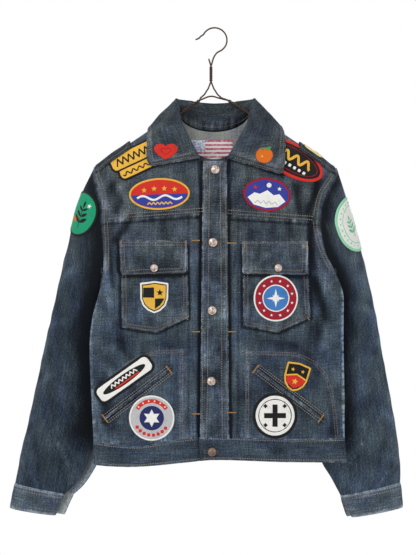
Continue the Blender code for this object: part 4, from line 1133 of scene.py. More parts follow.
@dataclass
class TrunkWork:
    """Cuts the fronts, yokes and back, and knows how they have faded and where painted light and shade
    lie on them.
    """

    trunk: Trunk
    maker: Maker
    front: TrunkGround
    front_right: TrunkGround
    back: TrunkGround
    wall: float = 1.7
    lap: float = 1.6
    under: float = 3.0
    underlap_x: float = 18.0
    start_in: float = 22.0
    seam_right: Outline = field(default_factory=lambda: [(-240.0, -348.7), (30.0, -329.0)])
    seam_left: Outline = field(default_factory=lambda: [(-30.0, -333.0), (240.0, -350.9)])
    seam_back_z: float = -330.0
    armhole_end_z: float = -446.0

    def armhole_rise(self, x: Array, z: Array) -> Array:
        """The cloth stands up a little where it laps over the sleeve."""
        return 0.9 * ease((self.trunk.share(x, z) - 0.93) / 0.05) * self.by_armhole(z)

    def by_armhole(self, z: Array) -> Array:
        """1 above the armpit and 0 below it."""
        return ease((z - self.armhole_end_z) / 16)

    def yoke_rise(self, seam: Edge) -> Callable[[Array, Array], Array]:
        """A yoke's lower edge stands on the panel below it."""
        return lambda x, z: 1.0 * hump(z - seam(x), 16) + self.armhole_rise(x, z)

    def panels(self) -> list[Panel]:
        """The cut pieces, from the edges between them."""
        trunk, up, under = self.trunk, self.lap, self.under
        right, left = (lambda z: trunk.edge_x(-1, z)), (lambda z: trunk.edge_x(1, z))
        seam_right, seam_left = line(self.seam_right), line(self.seam_left)
        start = line(list(zip(PLACKET_LEFT, (PLACKET_TOP_Z, -735.0))), by_height=True)
        bend = 0.32
        crown = bend * (1 - np.cos(np.linspace(0, math.pi / 2, 15)))
        yoke_down = np.concatenate([crown, np.linspace(bend, 1, 36)[1:]])
        reach = float(trunk.edge_x(1, trunk.armhole_top_z)) + self.start_in
        neck = (trunk.neck_half + self.start_in) / reach
        inner = neck * np.sin(np.linspace(0, math.pi / 2, 21))
        outer = neck + (1 - neck) * shares(42, 1.0, 1.5)
        from_middle = np.concatenate([inner, outer[1:]])
        middle, rest = 0.4945, 0.5055
        both = np.concatenate([(1 - from_middle[::-1]) * middle, middle + from_middle[1:] * rest])
        low = lambda x: trunk.levels.read("waist", x) - 2.5
        body = shares(140)

        def top(side: Side) -> Edge:
            """The neckline and shoulder of the front or the back."""
            return lambda x: trunk.top_z(side, x)

        def below(seam: Edge) -> Edge:
            """A line that a yoke's edge follows, lapping over its seam."""
            return lambda x: seam(x) - up

        def above(seam: Edge) -> Edge:
            """A line that a panel follows under the yoke."""
            return lambda x: seam(x) + under

        return [
            Panel("front_right", Side.FRONT, right, level(self.underlap_x), above(seam_right),
                  low, finer(shares(72, 1.4), 0.69, 0.88), body, self.armhole_rise,
                  ("front_yoke_right",)),
            Panel("front_left", Side.FRONT, start, left, above(seam_left), low,
                  finer(shares(72, 1.0, 1.4), 0.16, 0.32), body, self.armhole_rise,
                  ("front_yoke_left",)),
            Panel("back_panel", Side.BACK, right, left, level(self.seam_back_z + under), low,
                  np.concatenate([shares(45, 1.5) * 0.5, 0.5 + shares(45, 1, 1.5)[1:] * 0.5]),
                  shares(92), self.armhole_rise, ("back_yoke",)),
            Panel("front_yoke_right", Side.FRONT, right, level(self.underlap_x), top(Side.FRONT),
                  below(seam_right), 1 - from_middle[::-1], yoke_down,
                  self.yoke_rise(seam_right), ("hanger_hook_wire", "hanger_brace_wire")),
            Panel("front_yoke_left", Side.FRONT, start, left, top(Side.FRONT), below(seam_left),
                  from_middle, yoke_down, self.yoke_rise(seam_left),
                  ("hanger_arm_wire", "hanger_brace_wire")),
            Panel("back_yoke", Side.BACK, right, left, top(Side.BACK),
                  below(level(self.seam_back_z)), both, yoke_down,
                  self.yoke_rise(level(self.seam_back_z)),
                  ("hanger_hook_wire", "hanger_arm_wire", "hanger_brace_wire")),
        ]

    def wear(self, side: Side, x: Array, z: Array) -> Array:
        """How pale the cloth has faded at flat places, with painted shadow lines, painted light and
        shade on the folds, and a painted shade line beside the armhole.
        """
        trunk = self.trunk
        # The sewn lines fade the cloth pale; the negative ones are painted shadow lines.
        pale = sum((seam.paleness_and_shade(x, z) for seam in trunk.seams_and_shadows.get(side, ())), np.zeros_like(x))
        folds = creased(trunk.creases.get(side, ()), x, z)
        share = trunk.share(x, z)
        edge = hump(1 - share, 0.022) * (0.35 + 0.5 * ripple(x * 0, z / 13, 12))
        inset = (1 - share) * 200
        # A pale faded strip inside the armhole's edge and, 14 mm in, a painted shade line in the hollow
        # beside it.
        band = 0.1 * ease((12 - inset) / 3) - 0.3 * hump(inset - 14, 3)
        edge = edge + band * self.by_armhole(z)
        edge = edge * np.where((x < 0) & (z > self.armhole_end_z), 0.4, 1.0)
        shoulder = 0.12 * np.exp(-((trunk.shoulder_z(x) - z) / 14))
        cloud = 0.12 * ripple(x / 64, z / 88, 21) + 0.11 * ripple(x / 19, z / 27, 22)
        plain = 0.045 - 0.015 * np.tanh(x / 40)
        # The folds' term is painted light and shade: ridges paler, hollows darker.
        return pale + np.clip(folds, -5, 5) * 0.05 + edge * 0.4 + shoulder + cloud + plain

    def build(self) -> None:
        """Makes every panel."""
        for panel in self.panels():
            x, z = four_sided(panel.left, panel.right, panel.top, panel.bottom,
                              panel.across, panel.down)
            ground = self.back if panel.side == Side.BACK else self.front
            if panel.name.endswith("right") and panel.side == Side.FRONT:
                ground = self.front_right
            places = ground.lay(x, z, panel.lift(x, z))
            flat = np.stack([x, z], -1)
            marks = {"wear": self.wear(panel.side, x, z), "tint": blued(z) * 0.8}
            away = along((0, panel.side.value, 0))
            data = grid_mesh(panel.name, places, flat, away, marks)
            self.maker.cloth(data, places, ("denim", "reverse"), panel.name, self.wall,
                             panel.rests_on)


@dataclass
class Waistband:
    """The band round the hem, from the left front's edge round the back to its underlap.

    The trunk's right and left edges at the hem are known by their sum and their span.
    """

    trunk: Trunk
    maker: Maker
    start_x: float = PLACKET_LEFT[1]
    end_x: float = 18.0
    edge_sum: float = 21.0
    edge_span: float = 451.0
    lap: float = 1.5
    dip: float = 3.6
    dip_x: float = -36.0
    lift: float = 1.0
    wall: float = 2.4

    def height(self, x: Array, share: Array) -> Array:
        """Z at a share of the way down from the waist's seam to the hem."""
        top = self.trunk.levels.read("waist", x) + self.lap
        return top + (self.trunk.levels.read("hem", x) - top) * share

    def build(self) -> GridGround:
        """Makes the band and gives it as a ground for its stitches."""
        trunk = self.trunk
        start = (2 * self.start_x - self.edge_sum) / self.edge_span
        runs = (
            start + (1 - start) * shares(64, 1.0, 1.7),
            np.cos(np.linspace(0, math.pi, 121))[1:],
            -1 + (start - 0.03 + 1) * shares(60, 1.7, 1.0)[1:],
        )
        share = np.concatenate(runs)
        behind = np.repeat([False, True, False], [len(run) for run in runs])[:, None]
        down = shares(14)
        a, b = np.meshgrid(share, down, indexing="ij")
        z = np.full(a.shape, -760.0)
        for _ in range(8):
            right, left = trunk.edge_x(-1, z), trunk.edge_x(1, z)
            x = right + (left - right) * (a + 1) / 2
            z = self.height(x, b)
        y = np.where(behind, trunk.y(Side.BACK, x, z), trunk.y(Side.FRONT, x, z))
        places = np.stack([x, y, z], -1)
        places = np.concatenate([places, self.tail(places[-1, 0, 0], down)])
        around = steps(places, 0)
        flat = np.stack([places[..., 2] + 0 * around, around], -1)
        normals = self.outward(places)
        wobble = 0.35 * ripple(around / 26, places[..., 2] / 21, 31)
        rise = self.lift + wobble - 0.9 * (np.abs(b[0] - 0.5) * 2)[None, :] ** 12
        placed = places + normals * rise[..., None]
        pale = hump(1 - np.abs(down - 0.5) * 2, 0.10)[None, :]
        wear = pale * (0.3 + 0.4 * ripple(around / 8, places[..., 2] / 11, 32))
        wear = wear + 0.1 * ripple(around / 40, places[..., 2] / 30, 33)
        marks = {"wear": wear, "tint": np.full(around.shape, 0.8)}
        data = grid_mesh("waistband", placed, flat, lambda c: c * (1, 6, 0), marks)
        self.maker.cloth(data, placed, ("denim", "reverse"), "waistband", self.wall,
                         ("front_left", "front_right", "back_panel"))
        return GridGround(placed, normals, np.stack([around, places[..., 2]], -1))

    def tail(self, start_x: float, down: Array, columns: int = 12) -> Array:
        """The band's end, which dips to pass under the left front."""
        x = np.linspace(start_x, self.end_x, columns + 1)[1:, None] + 0 * down
        z = self.height(x, down)
        dip = self.dip * ease((x - self.dip_x) / 9)
        return np.stack([x, self.trunk.y(Side.FRONT, x, z) + dip, z], -1)

    def outward(self, places: Array) -> Array:
        """The level direction out of the band."""
        normals = grid_normals(places)
        out = np.sign(np.sum(normals * places * (1, 6, 0), -1, keepdims=True))
        return normals * np.where(out == 0, 1, out)


# ------------------------------------------------------------------ sleeves
@dataclass
class Sleeve:
    """A sleeve with its cuff, from rings round the arm."""

    trunk: Trunk
    maker: Maker
    name: str
    sign: int
    open_slit: bool
    rings: Table
    cuff: Table
    creases: Sequence[Crease]
    scuffs: Sequence[SeamOrShadowLine] = field(default_factory=lambda: (
        SeamOrShadowLine([(72, -748), (84, -764), (98, -786)], 0.42, 0.0, 2.6),
        SeamOrShadowLine([(31, -800), (48, -826)], 0.36, 0.0, 2.4), SeamOrShadowLine([(60, -690), (66, -730)], 0.2, 0.0, 3.0),
    ))
    clearance: float = 3.5
    fade: float = 3.5
    wall: float = 1.7
    columns: int = 84
    rows: int = 130
    tuck: float = 4.0
    slit_top: float = 8.8
    slit_rings: float = 1.5
    slit_turn: float = 60.0
    slit_depth: float = 3.5
    slit_spread: float = 17.0
    closed_spread: float = 9.0
    cuff_end: float = 4.0
    last_ring: float = 12.0

    def point(self, rings: Table, ring: Array, turn: Array) -> Array:
        """A point on an elliptic ring; a positive turn is on the front."""
        outer_x, inner_x = rings.read("outer_x", ring), rings.read("inner_x", ring)
        outer_z, inner_z = rings.read("outer_z", ring), rings.read("inner_z", ring)
        cosine, sine = np.cos(np.radians(turn)), np.sin(np.radians(turn))
        return np.stack([
            (outer_x + inner_x) / 2 + (outer_x - inner_x) / 2 * cosine,
            rings.read("behind", ring) - rings.read("depth", ring) * sine,
            (outer_z + inner_z) / 2 + (outer_z - inner_z) / 2 * cosine,
        ], -1)

    def shift(self, ring: Array, turn: Array, spread: Array | float = 1.0) -> Array:
        """The slit's halves: the back one stands out past the front one."""
        share = ease((ring - self.slit_top) / self.slit_rings)
        share = share * np.maximum(0.0, 1 - np.abs(180 - np.abs(turn)) / self.slit_turn) * spread
        ahead = turn > 0
        x = np.where(ahead, 0.0, -self.sign * self.slit_spread * share)
        y = np.where(ahead, -self.slit_depth * share, self.slit_depth * share)
        return np.stack([x, y, np.zeros_like(x)], -1)

    def armhole(self) -> tuple[Array, Array, Array]:
        """Round the armhole from under the arm up the back, over and down the front.

        Returns:
            The turn of each column, its point on the loop, and the same point tucked under
            the body's edge.
        """
        trunk = self.trunk
        drop = (1 - np.cos(np.linspace(0, math.pi, 160))) / 2
        z = trunk.armhole_top_z + (trunk.armpit_z - trunk.armhole_top_z) * drop
        found = []
        for side in (Side.BACK, Side.FRONT):
            x = trunk.edge_x(self.sign, z)
            rim = np.stack([x, trunk.y(side, x, z, False), z], -1)
            inner_x = x - self.sign * self.tuck
            inner_y = trunk.y(side, inner_x, z, False) - side.value * 1.4
            found.append((rim, np.stack([inner_x, inner_y, z], -1)))
        half = self.columns // 2
        turns, rims, tucks = [], [], []
        for (rim, tuck), sign in zip(found, (-1, 1)):
            walked = steps(rim, 0)
            stops = np.linspace(0, walked[-1], half + 1)
            turns.append(sign * 180 * stops / walked[-1])
            rims.append(read_rows(stops, walked, rim))
            tucks.append(read_rows(stops, walked, tuck))
        join = lambda back, ahead: np.concatenate([back[::-1], ahead[1:]])
        return join(*turns), join(*rims), join(*tucks)

    def clear(self, places: Array, clearance: Array) -> Array:
        """Points kept off the trunk: beside it above the armpit and behind it below."""
        x, y, z = places[..., 0], places[..., 1], places[..., 2]
        inside = (self.trunk.edge_x(self.sign, z) - x) * self.sign + clearance
        behind = self.trunk.y(Side.BACK, x, z, False) + clearance
        below = ease((self.trunk.armpit_z - z) / 40)
        pushed_x = x + self.sign * np.maximum(inside, 0) * (1 - below)
        pushed_y = np.where(inside > 0, np.maximum(y, blend(y, behind, below)), y)
        return np.stack([pushed_x, pushed_y, z], -1)

    def kept_off(self, places: Array, clearance: Array, rounds: int = 10) -> Array:
        """Points kept off the trunk, and smoothed where that moved them."""
        free = self.clear(places, clearance)
        for _ in range(rounds):
            soft = free.copy()
            soft[1:-1, 1:-1] = (
                free[2:, 1:-1] + free[:-2, 1:-1] + free[1:-1, 2:] + free[1:-1, :-2]
            ) / 4
            if not self.open_slit:
                ends = (free[1, 1:-1] + free[-2, 1:-1] + free[0, 2:] + free[0, :-2]) / 4
                soft[0, 1:-1] = soft[-1, 1:-1] = ends
            moved = np.linalg.norm(free - places, axis=-1, keepdims=True)
            near = ease(moved / 3.0)
            free = self.clear(free * (1 - near) + soft * near, clearance * 0.6)
        return free

    def build(self) -> GridGround:
        """Makes the sleeve and gives it as a ground."""
        turns, rims, tucks = self.armhole()
        ring = np.linspace(0, self.last_ring, self.rows + 1)
        turn, level_ring = np.meshgrid(turns, ring, indexing="ij")
        places = self.point(self.rings, level_ring, turn)
        fade = np.maximum(0.0, 1 - level_ring / self.fade) ** 2
        off = rims - self.point(self.rings, np.zeros_like(turns), turns)
        places = places + off[:, None, :] * fade[..., None]
        if self.open_slit:
            places = places + self.shift(level_ring, turn)
        free = self.kept_off(places, self.clearance * ease(level_ring / 1.2))
        around = steps(free, 0)
        around = around - around[self.columns // 2]
        normals = self.outward(free)
        flat = np.stack([self.level_steps(free), free[..., 2]], -1)
        calm = ease(level_ring / 1.0) * ease((self.last_ring - level_ring) / 0.8)
        calm = calm * ease((180 - np.abs(turn)) / 14)
        x, z = flat[..., 0], flat[..., 1]
        folds = creased(self.creases, x, z)
        lift = folds + 1.1 * ripple(x / 52, z / 70, 41 + self.sign)
        lift = lift + 0.5 * ripple(x / 21, z / 27, 43 + self.sign)
        calm = calm * (1 - 0.75 * hump(x, 22))
        free = free + normals * (lift * calm)[..., None]
        free = np.concatenate([tucks[:, None, :], free], 1)
        normals = np.concatenate([normals[:, :1], normals], 1)
        along_arm = steps(free, 1)
        with_tuck = lambda values: np.pad(values, ((0, 0), (1, 0)), "edge")
        cloth = np.stack([with_tuck(around), -along_arm], -1)
        flat = np.concatenate([flat[:, :1] + (0, 3), flat], 1)
        wear = self.wear(flat, along_arm, with_tuck(folds), free)
        if self.open_slit:
            wear[:, 1:] += self.facing(turn, level_ring) * ease((level_ring - self.slit_top) / 0.4)
        tint = blued(flat[..., 1]) * 0.75 + 0.2
        data = grid_mesh(self.name, free, cloth, self.way_out, {"wear": wear, "tint": tint},
                         wrapped=True)
        yoke = self.name.replace("sleeve", "front_yoke")
        self.maker.cloth(data, free, ("denim", "reverse"), self.name, self.wall,
                         (yoke, "back_yoke"))
        return GridGround(free, normals, flat)

    def wear(self, flat: Array, along_arm: Array, folds: Array, places: Array) -> Array:
        """Where the sleeve is pale, on the crown, and where painted light and shade lie: lighter on
        fold ridges, darker in fold hollows and in a painted shadow beside the body.
        """
        x, z = flat[..., 0], flat[..., 1]
        cloud = 0.14 * ripple(x / 55, z / 95, 51 + self.sign) + 0.1 * ripple(x / 22, z / 34, 52)
        crown = 0.3 * hump(along_arm - 4, 7) * (0.6 + ripple(x / 8, z / 8, 53))
        outer = 0.1 * hump(x, 26)
        # Painted shadow: the sleeve is darker beside the body, where the body shades it, and more so on
        # the left sleeve's upper part.
        beside = (places[..., 0] - self.trunk.edge_x(self.sign, places[..., 2])) * self.sign
        width, depth, pale = (18, 0.46, 0.04) if self.sign > 0 else (26, 0.66, -0.06)
        depth = depth + 0.4 * ease((z + 520) / 90) * (self.sign > 0)
        dark = depth * hump(np.maximum(beside, 0), width)
        dark = dark * ease((along_arm - 6) / 12) * ease((z + 775) / 50)
        scuffs = sum(scuff.paleness_and_shade(x, z) for scuff in self.scuffs)
        # The folds' term paints light on the ridges and shade in the hollows.
        return cloud + crown + outer - dark + pale + scuffs + np.clip(folds, -5, 5) * 0.05

    def facing(self, turn: Array, ring: Array) -> Array:
        """How pale the back half of the slit is, which shows past the front one."""
        return ease((-turn - 150) / 12) * (0.3 + 0.9 * ripple(turn / 5, ring * 9, 65))

    def level_steps(self, places: Array) -> Array:
        """The level distance of each point round from the outer edge, on to the front."""
        flat = places.copy()
        flat[..., 2] = 0
        around = steps(flat, 0)
        return around - around[self.columns // 2]

    def centre(self, z: Array) -> Array:
        """The middle of the arm at a height."""
        ring = np.linspace(0, self.last_ring, 60)
        middle = (self.point(self.rings, ring, 0 * ring)
                  + self.point(self.rings, ring, 0 * ring + 180)) / 2
        known = middle[np.argsort(middle[:, 2])]
        return read_rows(z, known[:, 2], known)

    def way_out(self, points: Array) -> Array:
        """From the middle of the arm to a point."""
        return points - self.centre(points[..., 2])

    def outward(self, places: Array) -> Array:
        """The direction out of the arm at each point."""
        normals = grid_normals(places)
        votes = np.sum(normals * self.way_out(places), -1).sum()
        return normals if votes > 0 else -normals

    def badge_ground(self, arm: GridGround, z: float, reach: float = 56.0) -> GridGround:
        """A chart round the arm's outer edge, true to length both ways.

        Args:
            arm: the sleeve's own ground.
            z: the height of the chart's middle.
            reach: how far the chart goes up and down.

        Returns:
            A ground whose flat places are the distance round to the front, and the height.
        """
        outer = arm.places[self.columns // 2]
        outer = outer[np.argsort(outer[:, 2])]
        edge = lambda height: read_rows(height, outer[:, 2], outer)
        down = edge(z - 40) - edge(z + 40)
        down /= np.linalg.norm(down)
        out = np.cross(down, (0.0, 1.0, 0.0))
        out *= self.sign * np.sign(out[0])
        ahead = np.cross(down, out)
        ahead *= -np.sign(ahead[1])
        finder = BVHTree.FromPolygons(arm.places.reshape(-1, 3).tolist(),
                                      grid_corners(*arm.places.shape[:2]))
        turns, heights = np.radians(np.linspace(-130, 130, 105)), np.linspace(reach, -reach, 57)
        places = np.empty((len(turns), len(heights), 3))
        half = len(turns) // 2
        for j, high in enumerate(heights):
            start = edge(z) - out * 30 - down * high
            for i in [*range(half, len(turns)), *range(half - 1, -1, -1)]:
                way = out * math.cos(turns[i]) + ahead * math.sin(turns[i])
                hit = finder.ray_cast(Vector(start), Vector(way), 120.0)[0]
                step = 1 if i < half else -1
                known = abs(i - half) > 1
                if hit is None or (known and np.linalg.norm(hit - Vector(places[i + step, j])) > 9):
                    hit = 2 * places[i + step, j] - places[i + 2 * step, j]
                places[i, j] = hit
        around = steps(places, 0)
        around = around - around[half]
        normals = grid_normals(places)
        if np.sum(normals[half] * out) < 0:
            normals = -normals
        flat = np.stack([around, np.broadcast_to(z + heights[None, :], around.shape)], -1)
        return GridGround(places, normals, flat)

    def build_cuff(self, lift: float = 1.0, wall: float = 2.4) -> GridGround:
        """Makes the cuff and gives it as a ground."""
        half = 180 * shares(44)
        turns = np.concatenate([half - 180, half[1:]])
        turns = np.clip(turns, -180 + self.cuff_end, 180 - self.cuff_end)
        ring = np.linspace(-0.12, 2.0, 16)
        turn, level_ring = np.meshgrid(turns, ring, indexing="ij")
        places = self.point(self.cuff, np.maximum(level_ring, 0), turn)
        first = self.point(self.cuff, np.zeros_like(turn), turn)
        second = self.point(self.cuff, np.ones_like(turn), turn)
        places = places + (first - second) * np.maximum(-level_ring, 0)[..., None]
        spread: Array | float = 1.0
        if not self.open_slit:
            spread = np.maximum(level_ring, 0) / 2 * self.closed_spread / self.slit_spread
        places = places + self.shift(np.full(turn.shape, self.last_ring), turn, spread)
        normals = self.outward(places)
        around = steps(places, 0)
        edge = np.abs((level_ring + 0.12) / 2.12 - 0.5) * 2
        wobble = 0.5 * ripple(around / 24, level_ring * 1.4, 61 + self.sign)
        placed = places + normals * (lift + wobble - 0.9 * edge**10)[..., None]
        cloth = np.stack([steps(placed, 1), around], -1)
        worn_and_shaded = hump(1 - edge, 0.16) * (0.34 + 0.5 * ripple(around / 9, edge * 2, 62))
        wear = worn_and_shaded + 0.12 * ripple(around / 30, level_ring, 63) + 0.15
        if self.open_slit:
            wear = wear + self.facing(turn, level_ring + 10)
        marks = {"wear": wear, "tint": np.full(around.shape, 0.6)}
        name = self.name.replace("sleeve", "cuff")
        data = grid_mesh(name, placed, cloth, self.way_out, marks)
        self.maker.cloth(data, placed, ("denim", "reverse"), name, wall, (self.name,))
        return GridGround(placed, normals, np.stack([around, places[..., 2]], -1))


# ------------------------------------------------------------------ collar and epaulets
@dataclass
class Collar:
    """Stand, fold and leaf in one sheet, from stations along the neckline.

    The stand is darker beside its seam, a painted shadow, with a paler line there, both by the distance
    from it.
    """

    trunk: Trunk
    maker: Maker
    end_at: float = 18.0
    middle_at: float = 9.0
    fold_gap: float = 7.0
    leaf_off: float = 7.0
    corner: float = 7.0
    pale_at: float = 4.35
    pale_width: float = 5.4
    dark_to: float = 2.86
    dark_fade: float = 12.65
    rounding: int = 26
    wall: float = 2.2
    columns: int = 200
    rows: int = 44
    stations: Table = field(default_factory=lambda: Table.numbered(
        "seam_x seam_z fold_x fold_z fold_off edge_x edge_z edge_off facing",
        (-26, -236, -25, -235, 0, -113, -252, 6.5, 0), (-37, -225, -36, -215, 0, -120, -236, 6.5, 0),
        (-49, -205, -49, -188, 0, -120, -212, 6.5, 8), (-58, -187, -56, -170, 0, -120, -197, 7, 25),
        (-62.5, -168, -60, -148, 0, -119.5, -187, 8, 55), (-64, -147, -66, -126, 0, -119, -178, 2, 90),
        (-60, -161, -60, -127, 2, -103, -188, 8, 125), (-47, -172, -47, -128.5, 3, -78, -202, 9, 150),
        (-25, -180, -26, -130.5, 4, -40, -207, 10, 170), (0, -182.5, 0, -131.5, 4, 0, -208, 10, 180),
        (25, -180, 28, -131, 4, 42, -207, 10, 190), (47, -172, 50, -129, 3, 80, -202, 9, 210),
        (60, -161, 65, -127, 2, 106, -187, 11, 235), (64, -147, 71, -125.5, 0, 121, -176, 3, 270),
        (62.5, -168, 62, -151, 0, 127, -189, 9, 305), (58, -187, 57, -172, 0, 128, -204, 8, 335),
        (49, -205, 48, -192, 0, 127, -223, 7.2, 352), (37, -225, 35, -216, 0, 125, -247, 7.2, 360),
        (26, -237, 23, -236, 0, 120.5, -266, 7.2, 360),
    ))

    def on_trunk(self, at: Array, x: Array, z: Array, off: Array | float) -> Array:
        """Points off the trunk: over the back in the middle stations, else over the fronts."""
        behind = ease((at - 5.0) / 0.5) * ease((13.0 - at) / 0.5)
        ahead_y = self.trunk.y(Side.FRONT, x, z, False) - off
        behind_y = self.trunk.y(Side.BACK, x, z, False) + off
        return np.stack([x, blend(ahead_y, behind_y, behind), z], -1)

    def profile(self, at: Array) -> Array:
        """The seven points across the collar at each station, from seam to outer edge."""
        value = {name: self.stations.read(name, at) for name in self.stations.names[1:]}
        facing = np.radians(value["facing"])
        out = np.stack([-np.sin(facing), -np.cos(facing), 0 * facing], -1)
        weight = np.cos(facing)
        seam = self.on_trunk(at, value["seam_x"], value["seam_z"], 0.0)
        fold = self.on_trunk(at, value["fold_x"], value["fold_z"], value["fold_off"])
        edge = self.on_trunk(at, value["edge_x"], value["edge_z"], value["edge_off"])
        drop = np.stack([0 * at, 0 * at, -5.0 * (0.6 - 0.4 * weight)], -1)
        top = fold + out * self.fold_gap / 2
        leaf_top = fold + out * self.fold_gap + drop
        middle = (leaf_top + edge) / 2
        clear = self.on_trunk(at, middle[:, 0], middle[:, 2], self.leaf_off)
        ahead = middle.copy()
        ahead[:, 1] = np.minimum(middle[:, 1], clear[:, 1])
        back = ease(4.5 - np.abs(at - self.middle_at) + 0.5)[:, None]
        middle = blend(ahead, middle + out * 4, back)
        near_top = fold + (0, 0, -3)
        near_top = near_top + (seam - near_top) * 0.15
        return np.stack([seam, (seam + near_top) / 2, near_top, top, leaf_top, middle, edge], 1)

    def sheet(self, at: Array, knots: Array, walked: Array, stops: Array) -> Array:
        """The smooth sheet through the knots, with soft folds where the leaf turns back.

        Args:
            at: the stations of the columns.
            knots: the seven points across the collar at each station.
            walked: how far apart the knots lie, from the seam on.
            stops: the rows' distances from the seam.

        Returns:
            The points, as columns by rows by 3.
        """
        names = [f"p{n}" for n in range(len(at) * 3)]
        across = Table(" ".join(["at", *names]), *[
            (walked[k], *knots[:, k].ravel()) for k in range(knots.shape[1])
        ])
        read = np.stack([across.read(name, stops) for name in names])
        places = read.reshape(len(at), 3, len(stops)).transpose(0, 2, 1)
        peaks = hump(np.abs(at - self.middle_at) - 4, 0.55)[1:-1, None, None]
        for _ in range(self.rounding):
            soft = (places[2:] + places[:-2]) / 2
            places[1:-1] = blend(places[1:-1], soft, peaks * 0.5)
        return places

    def rounded(self, places: Array, at: Array, from_edge: Array) -> Array:
        """The sheet with its two outer corners drawn in to arcs."""
        walked = steps(places, 0)
        into_x = self.corner - np.minimum(walked, walked[-1] - walked)
        into_z = self.corner - from_edge
        inner = np.minimum(into_x, into_z) > 0
        far = np.maximum(np.hypot(into_x, into_z), 1e-6)
        pull = np.where(inner, 1 - np.maximum(into_x, into_z) / far, 0)[..., None]
        ways = [unit(np.gradient(places, axis=axis)) for axis in (0, 1)]
        first = np.where(at < self.middle_at, 1.0, -1.0)[:, None, None]
        return places + pull * (ways[0] * first * into_x[..., None] - ways[1] * into_z[..., None])

    def build(self) -> tuple[GridGround, GridGround, GridGround]:
        """Makes the collar; gives it all, its right leaf and its left leaf as grounds."""
        at = np.linspace(0, self.end_at, self.columns + 1)
        knots = self.profile(at)
        walked = steps(knots, 1).mean(0)
        stops = np.concatenate([
            np.linspace(0, walked[2], 12)[:-1], np.linspace(walked[2], walked[4], 12)[:-1],
            np.linspace(walked[4], walked[6], self.rows - 21),
        ])
        places = self.sheet(at, knots, walked, stops)
        normals = grid_normals(places)
        leaf_rows = int(np.searchsorted(stops, walked[4])) + 1
        ends = (np.abs(at - self.middle_at) > 5.5)[:, None]
        on_leaf = ends & (np.arange(len(stops)) > leaf_rows)[None, :]
        if normals[..., 1][on_leaf].sum() > 0:
            normals = -normals
        x, z = places[..., 0], places[..., 2]
        from_edge = (stops[-1] - stops)[None, :] * np.ones_like(x)
        from_end = np.minimum(at, self.end_at - at)[:, None] * 12.0 + 0 * x
        rim = np.minimum(from_edge, from_end)
        free = ease((stops - walked[3]) / 20)[None, :]
        curl = 1.1 * ripple(at[:, None] / 1.9, stops[None, :] / 40, 71) * free
        pucker = 0.4 * hump(rim - 6.5, 4) * ripple(x / 7, z / 7, 72)
        round_off = -0.9 * np.exp(-rim / 0.9) + 0.35 * hump(rim - 3, 2.5)
        places = places + normals * ((curl + pucker) * free + round_off * free)[..., None]
        places = self.rounded(places, at, from_edge)
        along_neck = steps(places, 0)
        cloth = np.stack([steps(places, 1), along_neck], -1)
        worn_and_shaded = 0.6 * hump(rim, 1.3) * free * (0.4 + ripple(x / 6, z / 6, 73))
        by_seam = hump(stops - self.pale_at, self.pale_width)[None, :]
        worn_and_shaded = worn_and_shaded + 0.4 * by_seam * (0.6 + ripple(at[:, None] / 0.3, x * 0, 74))
        worn_and_shaded = worn_and_shaded + 0.2 * hump(rim - 7.5, 2.5) * free
        worn_and_shaded = worn_and_shaded + 0.12 * ripple(x / 26, z / 22, 75)
        # Painted shadow on the stand's foot, deepest about 54 mm towards the wearer's left.
        foot = 1 - ease((stops - self.dark_to) / self.dark_fade)[None, :]
        worn_and_shaded = worn_and_shaded - foot * (0.2 + 0.42 * hump(x - 54, 28))
        data = grid_mesh("collar", places, cloth, self.way_out, {"wear": worn_and_shaded, "tint": 0 * x})
        self.maker.cloth(data, places, ("denim", "denim"), "collar", self.wall,
                         ("front_yoke_right", "front_yoke_left", "back_yoke"))
        whole = GridGround(places, normals, np.stack([along_neck, steps(places, 1)], -1))
        right_end, left_start = (int(n / self.end_at * self.columns) for n in (4.6, 13.4))
        leaves = []
        for part in (slice(0, right_end), slice(left_start, None)):
            piece = (part, slice(leaf_rows, None))
            leaves.append(GridGround(places[piece], normals[piece], places[piece][..., [0, 2]]))
        return whole, leaves[0], leaves[1]

    def way_out(self, points: Array) -> Array:
        """Towards the front, read on the leaves alone."""
        on_leaf = (np.abs(points[:, 0]) > 85) & (points[:, 1] < -18)
        return np.where(on_leaf[:, None], np.array([0.0, -1.0, 0.0]), 0.0)


@dataclass
class Epaulet:
    """A strap over the crown of a shoulder."""

    trunk: Trunk
    maker: Maker
    name: str
    outer_x: float
    inner_x: float
    lift: float = 4.4
    seat: float = 2.0
    reach_front: float = 15.0
    reach_back: float = 18.0

    def build(self) -> GridGround:
        """Makes the strap and gives it as a ground."""
        share, side_share = np.meshgrid(shares(24), np.linspace(-1, 1, 33), indexing="ij")
        x = self.outer_x + (self.inner_x - self.outer_x) * share
        reach = np.where(side_share < 0, self.reach_front, self.reach_back)
        drop = reach * np.abs(side_share) ** 1.9
        z = self.trunk.shoulder_z(x) - drop
        ahead = self.trunk.y(Side.FRONT, x, z, False)
        behind = self.trunk.y(Side.BACK, x, z, False)
        places = np.stack([x, np.where(side_share < 0, ahead, behind), z], -1)
        normals = grid_normals(places)
        if normals[..., 2].sum() < 0:
            normals = -normals
        rim = np.minimum(1 - np.abs(side_share), np.minimum(share, 1 - share) * 2)
        lift = self.lift - self.seat * (1 - ease(share / 0.5)) - 0.9 * np.exp(-rim / 0.03)
        lift = lift + 0.5 * ripple(x / 17, side_share * 2, 81) + 0.4 * hump(rim - 0.12, 0.09)
        placed = places + normals * lift[..., None]
        across = steps(placed, 1)
        across = across - across[:, 16:17]
        wear = 0.3 * hump(rim, 0.05) * (0.3 + ripple(x / 6, across / 6, 82))
        wear = wear + 0.12 * ripple(x / 14, across / 14, 83) - 0.1
        marks = {"wear": wear, "tint": 0 * x}
        flat = np.stack([across, x], -1)
        data = grid_mesh(self.name, placed, flat, along((0, 0, 1)), marks)
        yoke = self.name.replace("epaulet", "front_yoke")
        self.maker.cloth(data, placed, ("denim", "denim"), self.name, 2.0, (yoke, "back_yoke"))
        return GridGround(placed, normals, np.stack([x, across], -1))


